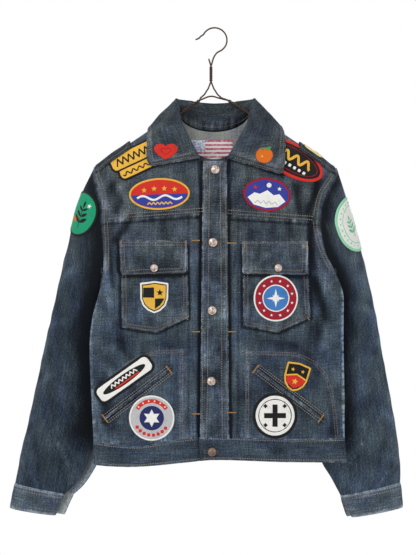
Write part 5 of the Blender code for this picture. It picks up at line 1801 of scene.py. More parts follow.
# ------------------------------------------------------------------ pieces on the fronts
@dataclass(frozen=True)
class FrontPiece:
    """A cut piece laid on a front: its outline, how it rises over what it lies on, and the lines laid
    on its colour.

    The outline starts at the top left, goes down the left side, along the foot and up the
    right side.
    """

    name: str
    outline: Outline
    thickness: float
    rests_on: tuple[str, ...]
    puff: float = 0.0
    pale_right: float = 0.0
    # shades: lines laid on the piece's colour; a negative one is a painted shadow, such as a flap's
    # shadow across a pocket.
    shades: tuple[SeamOrShadowLine, ...] = ()

    def depth(self, x: Array, z: Array) -> Array:
        """How far inside the outline flat places lie."""
        return np.maximum(inside_convex(self.outline, x, z), 0)

    def rise(self, x: Array, z: Array) -> Array:
        """The height of the piece's face over what it lies on; nothing outside it."""
        depth = self.depth(x, z)
        puff = self.puff * ease(depth / 26) * (0.75 + 0.8 * ripple(x / 31, z / 29, 91))
        sunk = -0.25 * hump(depth - 2.4, 1.3)
        wobble = 0.3 * ripple(x / 9, z / 9, 92) + 0.45 * ripple(x / 25, z / 21, 93)
        return self.thickness * quarter(depth / 1.5) + puff + (sunk + wobble) * ease(depth / 3)


@dataclass
class FrontWork:
    """Placket, chest pockets, flaps and welts, each a little higher than what it lies on."""

    maker: Maker
    ground: TrunkGround
    wall: float = 1.5
    cell: float = 3.2

    def places(self, piece: FrontPiece) -> tuple[Array, Array]:
        """Flat places of a grid over the piece."""
        points = piece.outline
        wide = max(p[0] for p in points) - min(p[0] for p in points)
        high = max(p[1] for p in points) - min(p[1] for p in points)
        return four_sided(
            line(points[:2], by_height=True), line(points[-2:], by_height=True),
            line([points[0], points[-1]]), line(points[1:-1]), self.stops(wide), self.stops(high),
        )

    def stops(self, size: float) -> Array:
        """Places over a size, from 0 to 1, with two more beside each end."""
        rims = [0.6 / size, 1 - 0.6 / size, 1.5 / size, 1 - 1.5 / size]
        return np.sort(np.concatenate([shares(int(max(8, size / self.cell))), rims]))

    def build(self, piece: FrontPiece) -> None:
        """Makes a piece and raises the ground by it."""
        if piece.name.startswith("welt"):
            x, z = quad_places(piece.outline, 64, 12)
        else:
            x, z = self.places(piece)
        depth = piece.depth(x, z)
        placed = self.ground.lay(x, z, np.maximum(piece.rise(x, z), piece.thickness * 0.3))
        worn_and_shaded = 0.5 * hump(depth, 1.4) * (0.5 + ripple(x / 6, z / 6, 94))
        worn_and_shaded = worn_and_shaded + 0.2 * hump(depth - 5, 2.6) * (0.5 + ripple(x / 9, z / 9, 95))
        right_x = max(p[0] for p in piece.outline)
        worn_and_shaded = worn_and_shaded + piece.pale_right * hump(right_x - x, 2.2)
        worn_and_shaded = worn_and_shaded + 0.2 * ripple(x / 34, z / 38, 96) + 0.14 * ripple(x / 12, z / 17, 97)
        # The shades add painted shadow lines, such as a flap's shadow across its pocket, and a pale
        # band down the placket.
        worn_and_shaded = worn_and_shaded + sum(seam.paleness_and_shade(x, z) for seam in piece.shades)
        marks = {"wear": worn_and_shaded, "tint": blued(z) * 0.7}
        data = grid_mesh(piece.name, placed, np.stack([x, z], -1), along((0, -1, 0)), marks)
        self.maker.cloth(data, placed, ("denim", "reverse"), piece.name, self.wall,
                         piece.rests_on, "laid")
        self.ground.covers.append(piece)


# ------------------------------------------------------------------ patches
class Yarn(Enum):
    """Colours of embroidery thread."""

    RED = (0.70, 0.033, 0.02)
    DARK_RED = (0.36, 0.012, 0.028)
    YELLOW = (0.88, 0.50, 0.065)
    WHITE = (0.94, 0.93, 0.89)
    CREAM = (0.93, 0.76, 0.36)
    FERN = (0.16, 0.56, 0.30)
    BLACK = (0.008, 0.008, 0.009)
    BLUE = (0.04, 0.055, 0.34)
    SKY = (0.06, 0.22, 0.56)
    NAVY = (0.022, 0.028, 0.13)
    TEAL = (0.012, 0.34, 0.17)
    MINT = (0.32, 0.74, 0.48)
    LEAF = (0.06, 0.34, 0.10)
    ORANGE = (0.80, 0.17, 0.015)
    GREY = (0.56, 0.56, 0.58)


@dataclass(frozen=True)
class Motif:
    """A shape in thread: filled where width is 0, else a cord of that width along it."""

    points: Array
    yarn: Yarn
    width: float = 0.0
    height: float = 0.55
    closed: bool = True
    angle: float = 0.0
    level: float = 0.0


@dataclass
class Patch:
    """An embroidered badge: a woven field, a thick overlocked border and raised motifs."""

    name: str
    ground: Ground
    x: float
    z: float
    tilt: float
    outline: Array
    field_yarn: Yarn
    border: Yarn
    motifs: list[Motif]
    rests_on: tuple[str, ...]
    border_width: float = 3.4
    border_height: float = 1.0
    thickness: float = 1.4
    wall: float = 1.1
    angle: float = 20.0
    ease_of_cut: float = 1.03

    def flat(self, local: Array) -> Array:
        """Local places turned and moved to the patch's place."""
        points = turned(local.reshape(-1, 2), self.x, self.z, self.tilt)
        return points.reshape(local.shape)

    def thread_map(self, local: Array, angle: float) -> Array:
        """The flat map whose first direction follows the threads."""
        c, s = math.cos(math.radians(angle)), math.sin(math.radians(angle))
        return np.stack([local[..., 0] * c + local[..., 1] * s,
                         -local[..., 0] * s + local[..., 1] * c], -1)

    def way_out(self, local: Array) -> Callable[[Array], Array]:
        """The way out of the cloth at one local place."""
        x, z = np.split(self.flat(local), 2, 1)
        return along(tuple(self.ground.spot(x, z)[1].mean((0, 1))))

    def tone(self, shape: tuple[int, ...], yarn: Yarn) -> Array:
        """The yarn's colour at every point."""
        return np.broadcast_to(np.array(yarn.value), (*shape, 3)).copy()

    def filled(self, outline: Array, rows: int, low: float, high: float, name: str, yarn: Yarn,
               angle: float) -> tuple[bpy.types.Mesh, Array]:
        """A sheet of rings from the outline in to its middle."""
        centre = outline.mean(0)
        outline = resample(outline, 3.0, closed=True)
        loop = np.concatenate([outline, outline[:1]])
        inward = np.concatenate([[0.0], np.linspace(0.012, 1.0, rows)])
        local = loop[:, None, :] + (centre - loop)[:, None, :] * inward[None, :, None]
        size = np.linalg.norm(loop - centre, axis=1).mean()
        depth = np.minimum(inward * size / 1.4, 1.0)
        height = low + (high - low) * quarter(depth)
        at = self.flat(local)
        uneven = 0.12 * ripple(at[..., 0] / 7, at[..., 1] / 7, 101)
        placed = self.ground.lay(at[..., 0], at[..., 1], height[None, :] + uneven * (depth > 0.5))
        marks = {"thread": self.tone(local.shape[:2], yarn)}
        data = grid_mesh(name, placed, self.thread_map(local, angle), self.way_out(centre[None]),
                         marks, wrapped=True)
        return data, placed

    def cord(self, motif: Motif, low: float) -> bpy.types.Mesh:
        """A raised cord of thread along a line."""
        path = resample(motif.points, 1.5, motif.closed)
        if motif.closed:
            path = np.concatenate([path, path[:1]])
            ways = unit(np.gradient(np.concatenate([path[-3:-1], path, path[1:3]]), axis=0)[2:-2])
        else:
            ways = unit(np.gradient(path, axis=0))
        aside = np.stack([-ways[:, 1], ways[:, 0]], 1)
        turn = np.linspace(0, math.pi, 9)
        offset, rise = np.cos(turn) * motif.width / 2, np.sin(turn)
        local = path[:, None, :] + aside[:, None, :] * offset[None, :, None]
        walked = steps(path, 0)
        at = self.flat(local)
        bumps = 0.12 * ripple(walked[:, None] / 1.6, offset[None, :] / 9, 102)
        placed = self.ground.lay(at[..., 0], at[..., 1],
                                 low + (motif.height + bumps) * rise[None, :] - 0.25)
        cloth = np.stack(np.broadcast_arrays(offset[None, :], walked[:, None]), -1)
        marks = {"thread": self.tone(bumps.shape, motif.yarn)}
        return grid_mesh("cord", placed, cloth, self.way_out(path[:1]), marks)

    def build(self, maker: Maker) -> None:
        """Makes the field and, in a piece of its own, all the raised thread."""
        data, placed = self.filled(self.outline, 12, 0.15, self.thickness, self.name,
                                   self.field_yarn, self.angle)
        thing = maker.add(data, ("embroidery",), self.name, self.name)
        maker.give_wall(thing, self.wall)
        size = np.ptp(self.outline, axis=0) * MM * self.ease_of_cut
        area = min(grid_area(placed) * MM * MM, float(size[0] * size[1]))
        parts = [self.cord(Motif(self.outline * (1 - 0.6 / np.abs(self.outline).max()),
                                 self.border, self.border_width, self.border_height),
                           self.thickness - 0.35)]
        for motif in self.motifs:
            low = self.thickness + motif.level
            if motif.width:
                parts.append(self.cord(motif, low))
            else:
                rings = 5 + int(np.ptp(motif.points, axis=0).max() / 6)
                parts.append(self.filled(motif.points, rings, low - 0.25, low + motif.height, "motif",
                                         motif.yarn, motif.angle)[0])
        thread = maker.joined(f"{self.name}_thread", parts, "embroidery", self.name)


# ------------------------------------------------------------------ buttons and wires
@dataclass
class Button:
    """A domed tack button with a beaded ring, set square to the cloth."""

    name: str
    x: float
    z: float
    radius: float
    lift: float
    look: str = "plated"
    height: float = 4.2

    def build(self, maker: Maker, ground: TrunkGround) -> None:
        """Spins the button's profile and sets it on the cloth."""
        profile = ((0, 0), (0.72, 0), (0.8, 0.19), (0.97, 0.27), (1.0, 0.4), (0.99, 0.55),
                   (0.93, 0.7), (0.85, 0.78), (0.8, 0.76), (0.76, 0.7), (0.7, 0.72), (0.62, 0.83),
                   (0.5, 0.9), (0.4, 0.94), (0.36, 0.9), (0.32, 0.91), (0.26, 0.98), (0.14, 1.0),
                   (0, 1.01))
        shape = bmesh.new()
        chain = [shape.verts.new((a * self.radius, 0, b * self.height)) for a, b in profile]
        edges = [shape.edges.new(pair) for pair in zip(chain, chain[1:])]
        bmesh.ops.spin(shape, geom=chain + edges, cent=(0, 0, 0), axis=(0, 0, 1),
                       angle=2 * math.pi, steps=48, use_merge=True)
        bmesh.ops.remove_doubles(shape, verts=shape.verts[:], dist=1e-4)
        bmesh.ops.recalc_face_normals(shape, faces=shape.faces[:])
        points, normals = ground.spot(np.array([self.x]), np.array([self.z]))
        way = Vector(normals[0])
        turn = Vector((0, 0, 1)).rotation_difference(way).to_matrix()
        bmesh.ops.rotate(shape, verts=shape.verts[:], matrix=turn)
        place = Vector(points[0]) + way * self.lift
        bmesh.ops.translate(shape, verts=shape.verts[:], vec=place)
        bmesh.ops.scale(shape, verts=shape.verts[:], vec=(MM, MM, MM))
        maker.add(mesh_of(shape, self.name), (self.look,), self.name, self.name)


@dataclass
class Hanger:
    """Three wires: the hook with the right arm, the left arm, and a brace under both."""

    trunk: Trunk
    maker: Maker
    wire: float = 1.45
    twist: float = 1.65
    hook_centre: tuple[float, float] = (1.0, -21.0)
    hook_radius: float = 22.3
    tip_x: float = -19.5
    shank_z: float = -31.5
    shank_x: float = -5.4
    arm_end_x: float = 188.0
    wall: float = 2.0

    def helix(self, start: Array, end: Array, turns: float, phase: float) -> Array:
        """One strand of a twisted pair."""
        way = end - start
        across = np.array([0.0, 1.0, 0.0])
        aside = np.cross(way, across)
        aside /= np.linalg.norm(aside)
        share = np.linspace(0, 1, int(turns * 20) + 1)[:, None]
        angle = 2 * math.pi * turns * share + phase
        return start + way * share + (across * np.cos(angle) + aside * np.sin(angle)) * self.twist

    def arm(self, sign: int, phase: float) -> Array:
        """One strand along an arm, twisted near the neck and straight beyond."""
        below = (self.wall + self.wire + 1.1) * math.sqrt(1 + self.trunk.shoulder_slope**2)
        axis = lambda x: np.array([sign * x, 0.0, float(self.trunk.shoulder_z(x)) - below])
        end = axis(60.0) + (0, 0, -1.9)
        twisted = self.helix(np.array([sign * 26.0, 0.0, -129.5]), end, 3.5, phase)
        offset = twisted[-1] - end
        far = [axis(x) + offset + (0, 0.35 * math.sin(x / 17), 0) for x in
               np.linspace(60, self.arm_end_x, 40)[1:]]
        return np.concatenate([twisted, far])

    def tube(self, name: str, points: Array) -> None:
        """A round wire along points, closed at its ends."""
        path = evenly(points, 1.2)
        ways = unit(np.gradient(path, axis=0))
        across = unit(np.cross(ways, (0, 1, 0)))
        up = np.cross(across, ways)
        turn = np.linspace(0, 2 * math.pi, 11)
        ring = across[:, None] * np.cos(turn)[None, :, None] + up[:, None] * np.sin(turn)[None, :, None]
        size = np.full(len(path), self.wire)
        size[0] = size[-1] = self.wire * 0.6
        places = path[:, None] + ring * size[:, None, None]
        flat = np.stack(np.broadcast_arrays(np.arange(len(path))[:, None], turn[None, :]), -1)
        nearest = lambda at: path[np.argmin(((at[:, None] - path[None]) ** 2).sum(-1), 1)]
        data = grid_mesh(name, places, flat.astype(float), lambda at: at - nearest(at), {},
                         wrapped=True)
        shape = bmesh.new()
        shape.from_mesh(data)
        bmesh.ops.holes_fill(shape, edges=shape.edges[:], sides=12)
        bmesh.ops.recalc_face_normals(shape, faces=shape.faces[:])
        shape.to_mesh(data)
        shape.free()
        self.maker.add(data, ("iron",), name, name)

    def build(self) -> None:
        """Makes the three wires."""
        x0, z0 = self.hook_centre
        angle = np.radians(np.linspace(178, -30, 60))
        crown = np.stack([x0 + np.cos(angle) * self.hook_radius, 0 * angle,
                          z0 + np.sin(angle) * self.hook_radius], 1)
        crown = crown[(crown[:, 0] > self.tip_x) & (crown[:, 2] > self.shank_z)]
        tip = np.array([(-33.5, 0, -20), (-30.5, 0, -19.2), (-27, 0, -17.5), (-23.5, 0, -13.8)])
        shank = np.array([(18.0, 0, -35.2), (13.5, 0, -39.2), (9, 0, -41.5), (5.0, 0, -43.8),
                          (1.5, 0, -48.5), (-1.0, 0.4, -53.0), (-2.5, 0.6, -58)])
        top, low = np.array([self.shank_x, 0, -69.0]), np.array([self.shank_x, 0, -95.0])
        fork = {s: np.array([(self.shank_x + s * 2.2, 0, -101), (self.shank_x + s * 5, 0, -108),
                             (self.shank_x + s * 12, 0, -119), (self.shank_x + s * 19, 0, -125)])
                for s in (-1, 1)}
        hook = np.concatenate([tip, crown, shank, self.helix(top, low, 3.5, 0.0), fork[-1],
                               self.arm(-1, 0.0)])
        self.tube("hanger_hook_wire", hook)
        free = np.array([(-9.5, -0.6, -54.5), (-8.6, -0.8, -57.5), (-7.5, -1.0, -61.0)])
        other = np.concatenate([free, self.helix(top, low, 3.5, math.pi), fork[1],
                                self.arm(1, math.pi)])
        self.tube("hanger_arm_wire", other)
        bow = np.array([(-15, 0, -124.5), (-10, 0, -122.6), (-5, 0, -122.0), (0.5, 0, -122.6),
                        (6, 0, -124.5)])
        brace = np.concatenate([self.arm(-1, math.pi)[::-1], bow, self.arm(1, 0.0)])
        self.tube("hanger_brace_wire", brace)


# ------------------------------------------------------------------ the badges' designs
def wave(length: float, high: float, turns: float, lift: float = 0.0) -> Array:
    """A wavy line about the origin."""
    x = np.linspace(-length / 2, length / 2, 60)
    return np.stack([x, lift + high * np.sin(x / length * 2 * math.pi * turns)], 1)


def zigzag(length: float, high: float, count: int, lift: float = 0.0) -> Array:
    """A line that goes up and down about the origin."""
    x = np.linspace(-length / 2, length / 2, count * 2 + 1)
    return np.stack([x, lift + high * np.where(np.arange(count * 2 + 1) % 2, 0.5, -0.5)], 1)


def arc(radius: float, start: float, end: float, high: float = 1.0) -> Array:
    """Part of a circle, or of an ellipse when high isn't 1."""
    angle = np.radians(np.linspace(start, end, 24))
    return np.stack([radius * np.cos(angle), radius * high * np.sin(angle)], 1)


def oblong(half_wide: float, half_high: float) -> Array:
    """Four corners about the origin, from the top left down."""
    ways = np.array([(-1, 1), (-1, -1), (1, -1), (1, 1)])
    return ways * (half_wide, half_high)


def round_star(x: float, z: float, size: float, yarn: Yarn, points: int = 5) -> Motif:
    """A small star at a place in a badge."""
    return Motif(turned(star(points, size, size * 0.45), x, z), yarn)


def leaf_sprig(yarn: Yarn, size: float, x: float) -> list[Motif]:
    """A stem with pairs of leaves."""
    stem = np.array([(x, -size * 0.9), (x, size * 0.75)])
    found = [Motif(stem, yarn, 1.6, 0.5, False)]
    for n, z in enumerate((-0.55, -0.15, 0.25)):
        long = size * (0.72 - 0.12 * n)
        for turn in (35, 145):
            found.append(Motif(turned(leaf(long, long * 0.36, turn), x, z * size), yarn,
                               angle=turn))
    found.append(Motif(turned(leaf(size * 0.5, size * 0.2, 90), x, size * 0.45), yarn, angle=90))
    return found


def badges(front: Ground, right_sleeve: Ground, left_sleeve: Ground, right_leaf: Ground,
           left_leaf: Ground, epaulet: Ground) -> list[Patch]:
    """All the badges on the jacket, each with a plain design of its own."""
    wide = ellipse(1, 1, 40)
    found = []
    found.append(Patch(
        "patch_sleeve_round_right", right_sleeve, 26.5, -325.5, 0, ellipse(40, 40, 96), Yarn.TEAL,
        Yarn.BLACK, [
            *leaf_sprig(Yarn.BLACK, 27, 8.0),
            Motif(turned(star(5, 5, 2.4), 19, 19), Yarn.WHITE, angle=60),
            *[Motif(turned(leaf(15, 6, 60), x, -18), Yarn.ORANGE) for x in (-14, -6)],
        ], ("sleeve_right",), border_width=4.4))
    found.append(Patch(
        "patch_heart_collar_right", right_leaf, -85.5, -225, 0, heart(21, 13), Yarn.RED,
        Yarn.RED, [Motif(turned(heart(9, 5.6), 0, 0.5), Yarn.DARK_RED, 1.4, 0.4)],
        ("collar",), border_width=2.6, border_height=0.7))
    found.append(Patch(
        "patch_yoke_bar_right", front, -142, -239, 25, resample(
            [(43, 22.5), (-34, 22.5), (-40, 20), (-43, 14), (-43, 1), (-40, -4.5), (-34.5, -7),
             (-35.5, -16), (-34, -22.5), (-29, -26), (43, -26)], 1.6, closed=True),
        Yarn.YELLOW, Yarn.BLACK, [
            Motif(np.array([(-37, -6.5), (41, -6.5)]), Yarn.BLACK, 3.4, 0.7, False),
            Motif(zigzag(64, 13, 6, 7.5), Yarn.BLACK, 3.2, 0.5, False),
            Motif(wave(58, 2.8, 5.0, -16.5), Yarn.BLACK, 2.8, 0.5, False),
        ], ("front_yoke_right",), border_width=4.0))
    found.append(Patch(
        "patch_yoke_oval_right", front, -97, -300, 2, ellipse(53, 27), Yarn.RED, Yarn.YELLOW, [
            Motif(arc(50.5, 181, 359, 0.49), Yarn.BLUE, 0.0, 0.35),
            Motif(wave(80, 3.6, 2.0, -6.5), Yarn.WHITE, 3.8, 0.7, False, level=0.5),
            *[round_star(x, 10.5 - abs(x) / 9, 5.4, Yarn.YELLOW) for x in (-27, -9, 9, 27)],
            Motif(zigzag(44, 4.0, 6, -16.5), Yarn.YELLOW, 2.4, 0.6, False, level=0.5),
        ], ("front_yoke_right",)))
    found.append(Patch(
        "patch_yoke_oval_left", front, 94, -301, -6, ellipse(41, 28), Yarn.BLUE, Yarn.DARK_RED, [
            Motif(resample([(-34, -8), (-23, 2), (-13, 0), (0, 8), (12, 0), (22, 3), (34, -9),
                            (22, -20), (0, -24), (-22, -20)], 3.0, closed=True),
                  Yarn.WHITE, 0.0, 0.4, angle=70),
            Motif(turned(wide * 4.6, 2, 17), Yarn.WHITE),
            round_star(-22, 11, 4.4, Yarn.RED), round_star(21, 12, 4.4, Yarn.WHITE),
            Motif(zigzag(40, 5, 4, -14), Yarn.GREY, 2.4, 0.4, False, level=0.4),
        ], ("front_yoke_left",), border_width=3.8))
    found.append(Patch(
        "patch_shoulder_oval_left", front, 139, -238.5, -30, ellipse(59, 27), Yarn.BLACK,
        Yarn.RED, [
            Motif(ellipse(50, 19.5), Yarn.DARK_RED, 1.4, 0.35),
            Motif(wave(72, 6.4, 3.5, 4.0), Yarn.YELLOW, 5.2, 0.6, False),
            *[Motif(turned(bar(5.4, 5.4, 1.2), x, -11), Yarn.WHITE)
              for x in np.linspace(-18, 30, 6)],
        ], ("front_yoke_left",), border_width=5.6, border_height=1.3))
    found.append(Patch(
        "patch_shoulder_top_left", epaulet, 175.5, 1.5, 0, bar(31, 33, 7), Yarn.CREAM,
        Yarn.CREAM, [
            Motif(np.array([(-11, 0), (0, 8), (11, 0)]), Yarn.BLACK, 2.4, 0.5, False),
            Motif(np.array([(-11, -7), (0, 1), (11, -7)]), Yarn.BLACK, 2.4, 0.5, False),
        ], ("epaulet_left",), border_width=2.6))
    found.append(Patch(
        "patch_sleeve_round_left", left_sleeve, 13.5, -348, 0, ellipse(48.5, 48.5, 110), Yarn.WHITE,
        Yarn.MINT, [
            Motif(ellipse(35, 35, 80), Yarn.MINT, 2.2, 0.4),
            *leaf_sprig(Yarn.FERN, 22, 14.0), *leaf_sprig(Yarn.MINT, 18, -13.0),
            *[Motif(turned(wide * 1.9, 40 * math.cos(a), 40 * math.sin(a)), Yarn.MINT)
              for a in np.radians(np.arange(0, 360, 15))],
        ], ("sleeve_left",), border_width=5.4))
    found.append(Patch(
        "patch_pocket_shield_right", front, -106, -483, 0, shield(48, 55), Yarn.YELLOW,
        Yarn.WHITE, [
            Motif(shield(43, 48.5), Yarn.BLACK, 2.2, 0.5),
            Motif(np.array([(-20, 17), (0, 17), (0, -1), (-20, -1)]), Yarn.BLACK, 0.0, 0.4,
                  angle=90),
            Motif(np.array([(1, -2), (19, -2), (10, -15), (1, -21)]), Yarn.BLACK, 0.0, 0.4,
                  angle=90),
            round_star(10, 8, 6.5, Yarn.BLACK),
        ], ("chest_pocket_right",), border_width=3.4))
    found.append(Patch(
        "patch_pocket_roundel_left", front, 109.5, -485, 0, ellipse(38.5, 40.5, 96), Yarn.DARK_RED,
        Yarn.WHITE, [
            Motif(ellipse(22.5, 22.5, 56), Yarn.SKY, 0.0, 0.35),
            Motif(ellipse(23, 23, 56), Yarn.WHITE, 2.0, 0.5, level=0.2),
            *[round_star(29.5 * math.cos(a), 31 * math.sin(a), 3.1, Yarn.WHITE)
              for a in np.radians(np.arange(15, 375, 30))],
            Motif(star(4, 17, 4.6), Yarn.WHITE, level=0.35, angle=45),
            Motif(star(4, 9, 3.2, 45), Yarn.WHITE, level=0.35, angle=45),
        ], ("chest_pocket_left",), border_width=3.0))
    found.append(Patch(
        "patch_waist_bar_right", front, -160, -629.5, 35.4, bar(117, 31, 11), Yarn.WHITE,
        Yarn.BLACK, [
            Motif(ellipse(46, 8.6, 60), Yarn.BLACK, 0.0, 0.4, angle=90),
            Motif(zigzag(56, 6, 7, 2.0), Yarn.WHITE, 2.6, 0.6, False, level=0.35),
            Motif(np.array([(-22, -4.6), (30, -4.6)]), Yarn.RED, 3.4, 0.6, False, level=0.35),
        ], ("front_right",), border_width=5.0))
    found.append(Patch(
        "patch_waist_roundel_right", front, -111, -698.5, 0, ellipse(39.5, 39.5, 96), Yarn.GREY,
        Yarn.WHITE, [
            Motif(arc(30.5, 32, 148), Yarn.RED, 8.5, 0.5, False),
            *[Motif(turned(bar(6, 6, 1.4), 30.5 * math.cos(a), 30.5 * math.sin(a)), Yarn.RED)
              for a in np.radians(np.arange(212, 340, 16))],
            *[Motif(turned(wide * 1.5, 30.5 * math.cos(a), 30.5 * math.sin(a)), Yarn.WHITE,
                    level=0.6) for a in np.radians(np.arange(40, 150, 20))],
            Motif(ellipse(22, 22, 56), Yarn.NAVY, 0.0, 0.35),
            Motif(star(6, 16, 8.5), Yarn.WHITE, level=0.35, angle=30),
        ], ("front_right",), border_width=3.2))
    found.append(Patch(
        "patch_waist_shield_left", front, 146, -625.5, -16, shield(41, 50), Yarn.BLACK,
        Yarn.YELLOW, [
            Motif(resample([(-18, -1), (0, 5), (18, -1), (14, -13), (0, -21), (-14, -13)], 3.0,
                           closed=True), Yarn.RED, 0.0, 0.4, angle=80),
            Motif(np.array([(-18, -1), (0, 5), (18, -1)]), Yarn.YELLOW, 3.0, 0.5, False,
                  level=0.3),
            round_star(0, -8, 7.0, Yarn.YELLOW),
            *[round_star(x, 12, 4.0, Yarn.YELLOW) for x in (-9, 9)],
        ], ("front_left",), border_width=3.4))
    cross = [
        Motif(oblong(8.2 * 2.4, 4.6), Yarn.BLACK, 0.0, 0.45, angle=90),
        Motif(oblong(4.6, 20), Yarn.BLACK, 0.0, 0.45),
        *[Motif(turned(star(4, 4.4, 3.0), x, z), Yarn.BLACK)
          for x, z in ((-17, 17), (17, 17), (-17, -17), (17, -17))],
    ]
    found.append(Patch(
        "patch_waist_roundel_left", front, 108.5, -694, 0, ellipse(37.5, 38.5, 96), Yarn.WHITE,
        Yarn.BLACK, [Motif(ellipse(29, 29, 72), Yarn.BLACK, 2.0, 0.4), *cross],
        ("front_left",), border_width=5.6))
    found.append(Patch(
        "patch_fruit_collar_left", left_leaf, 89, -231.5, 0, ellipse(14.5, 13, 48), Yarn.ORANGE,
        Yarn.ORANGE, [
            Motif(turned(leaf(13, 5.4, 25), 1, 9), Yarn.LEAF, level=0.4, angle=25),
            Motif(turned(leaf(8, 4.2, 150), 0, 9), Yarn.LEAF, level=0.4, angle=150),
            Motif(turned(wide * 2.0, -4, -2), Yarn.YELLOW, level=0.1),
        ], ("collar",), border_width=2.4, border_height=0.7))
    return found


# ------------------------------------------------------------------ what the cloth has been through, and the painted shadow lines
CURVE_RIGHT = [(-57.6, -579), (-97, -580.5), (-115, -584), (-151, -600), (-178, -624), (-205, -647)]
CURVE_LEFT = [(65, -582), (137, -584), (155, -588), (182, -602), (200, -624), (211, -660),
              (216, -696)]
SIDE_RIGHT = [(-213, -480), (-222, -560), (-217, -690), (-214, -740)]
WELT_RIGHT = [(-80, -612), (-195, -700)]
WELT_LEFT = [(73.8, -611), (190.8, -700)]
FRONT_CREASES = tuple(Crease(*row) for row in (
    (-186, -366, -176, -566, 6, 17, 3.6), (-214, -470, -150, -604, -8, 18, -3.4),
    (-35, -560, -58, -728, 3, 15, 2.6), (186, -396, 200, -590, -6, 17, 3.6),
    (224, -480, 165, -590, 8, 18, -3.6), (206, -636, 214, -736, 3, 15, 2.6),
    (-206, -640, -192, -738, 4, 15, 2.6), (-148, -264, -190, -336, 6, 12, 3.2),
    (150, -276, 180, -338, -5, 12, 3.0), (0, -556, 8, -704, 4, 20, -2.4),
    (-200, -500, -172, -590, -5, 9, 1.8), (-196, -560, -140, -596, 5, 8, 1.4),
    (208, -520, 186, -612, 4, 9, 1.8), (-62, -560, -76, -640, 4, 10, 1.6),
    (70, -560, 84, -652, -4, 10, 1.6), (-178, -380, -172, -470, 3, 7, 1.5),
    (176, -382, 180, -470, -3, 7, 1.5), (-40, -470, -34, -560, 2, 8, 1.1),
    (34, -440, 38, -560, -2, 8, 1.1), (-120, -640, -60, -670, 5, 9, 1.2),
    (96, -640, 40, -676, -5, 9, 1.2), (-206, -668, -176, -742, -3, 8, 1.6),
    (226, -600, 206, -700, 4, 9, 1.8), (-52, -270, -150, -262, 6, 10, 1.0),
    (58, -272, 140, -286, -6, 10, 1.0), (-118, -560, -110, -600, 2, 8, 1.0),
    (-186, -270, -168, -346, 6, 11, -4.2), (-140, -330, -180, -392, 3, 8, -3.0),
    (-181, -392, -180, -476, 2, 9, -3.4), (188, -264, 163, -344, -4, 8, -3.8),
    (143, -276, 155, -344, 2, 8, -2.6), (171, -340, 177, -440, 2, 8, -3.8),
    (172, -440, 204, -530, -4, 10, -4.2), (206, -440, 218, -530, -4, 13, 2.6),
    (-202, -632, -184, -728, 4, 11, -3.4), (-64, -342, -58, -384, 2, 7, 1.6),
    (112, -340, 118, -384, 2, 7, 1.6), (88, -548, 96, -584, 2, 8, 1.4),
))
BACK_CREASES = tuple(Crease(*row) for row in (
    (-90, -350, -70, -650, 10, 26, 4.4), (80, -372, 95, -668, -8, 26, 4.4),
    (-160, -424, -118, -604, 8, 22, -3.6), (180, -434, 138, -616, -8, 22, -3.6),
    (0, -300, 10, -530, 6, 30, -2.8), (-190, -470, -120, -520, -8, 12, 2.4),
    (196, -480, 128, -540, 8, 12, 2.4), (-40, -480, -24, -700, 6, 15, 2.4),
    (40, -520, 30, -716, -5, 14, 2.2), (-150, -600, -166, -736, 5, 14, 2.6),
    (160, -600, 178, -732, -5, 14, 2.6), (-60, -250, -150, -300, 7, 13, 1.6),
    (70, -250, 150, -306, -7, 13, 1.6), (-120, -660, -60, -724, 4, 10, 1.5),
    (118, -664, 64, -726, -4, 10, 1.5), (-30, -220, 44, -226, 8, 12, 1.1),
))
SLEEVE_CREASES = tuple(Crease(*row) for row in (
    (-70, -330, 30, -372, 10, 13, 2.0), (-60, -395, 66, -470, -14, 15, 3.0),
    (74, -420, -20, -500, 12, 12, 2.4), (-78, -480, 40, -545, -10, 13, 2.8),
    (70, -520, -40, -580, 10, 11, 2.2), (-66, -570, 50, -640, -9, 13, 2.4),
    (66, -610, -30, -690, 8, 12, 2.0), (-60, -670, 40, -730, -8, 12, 2.2),
    (58, -700, -20, -780, 7, 12, 2.0), (-50, -750, 36, -808, -6, 10, 1.8),
    (18, -440, 8, -620, 8, 20, 1.8), (-24, -520, -10, -760, -7, 18, 1.6),
    (90, -380, 60, -440, 5, 10, 1.8), (-92, -360, -60, -430, -5, 10, 1.8),
))
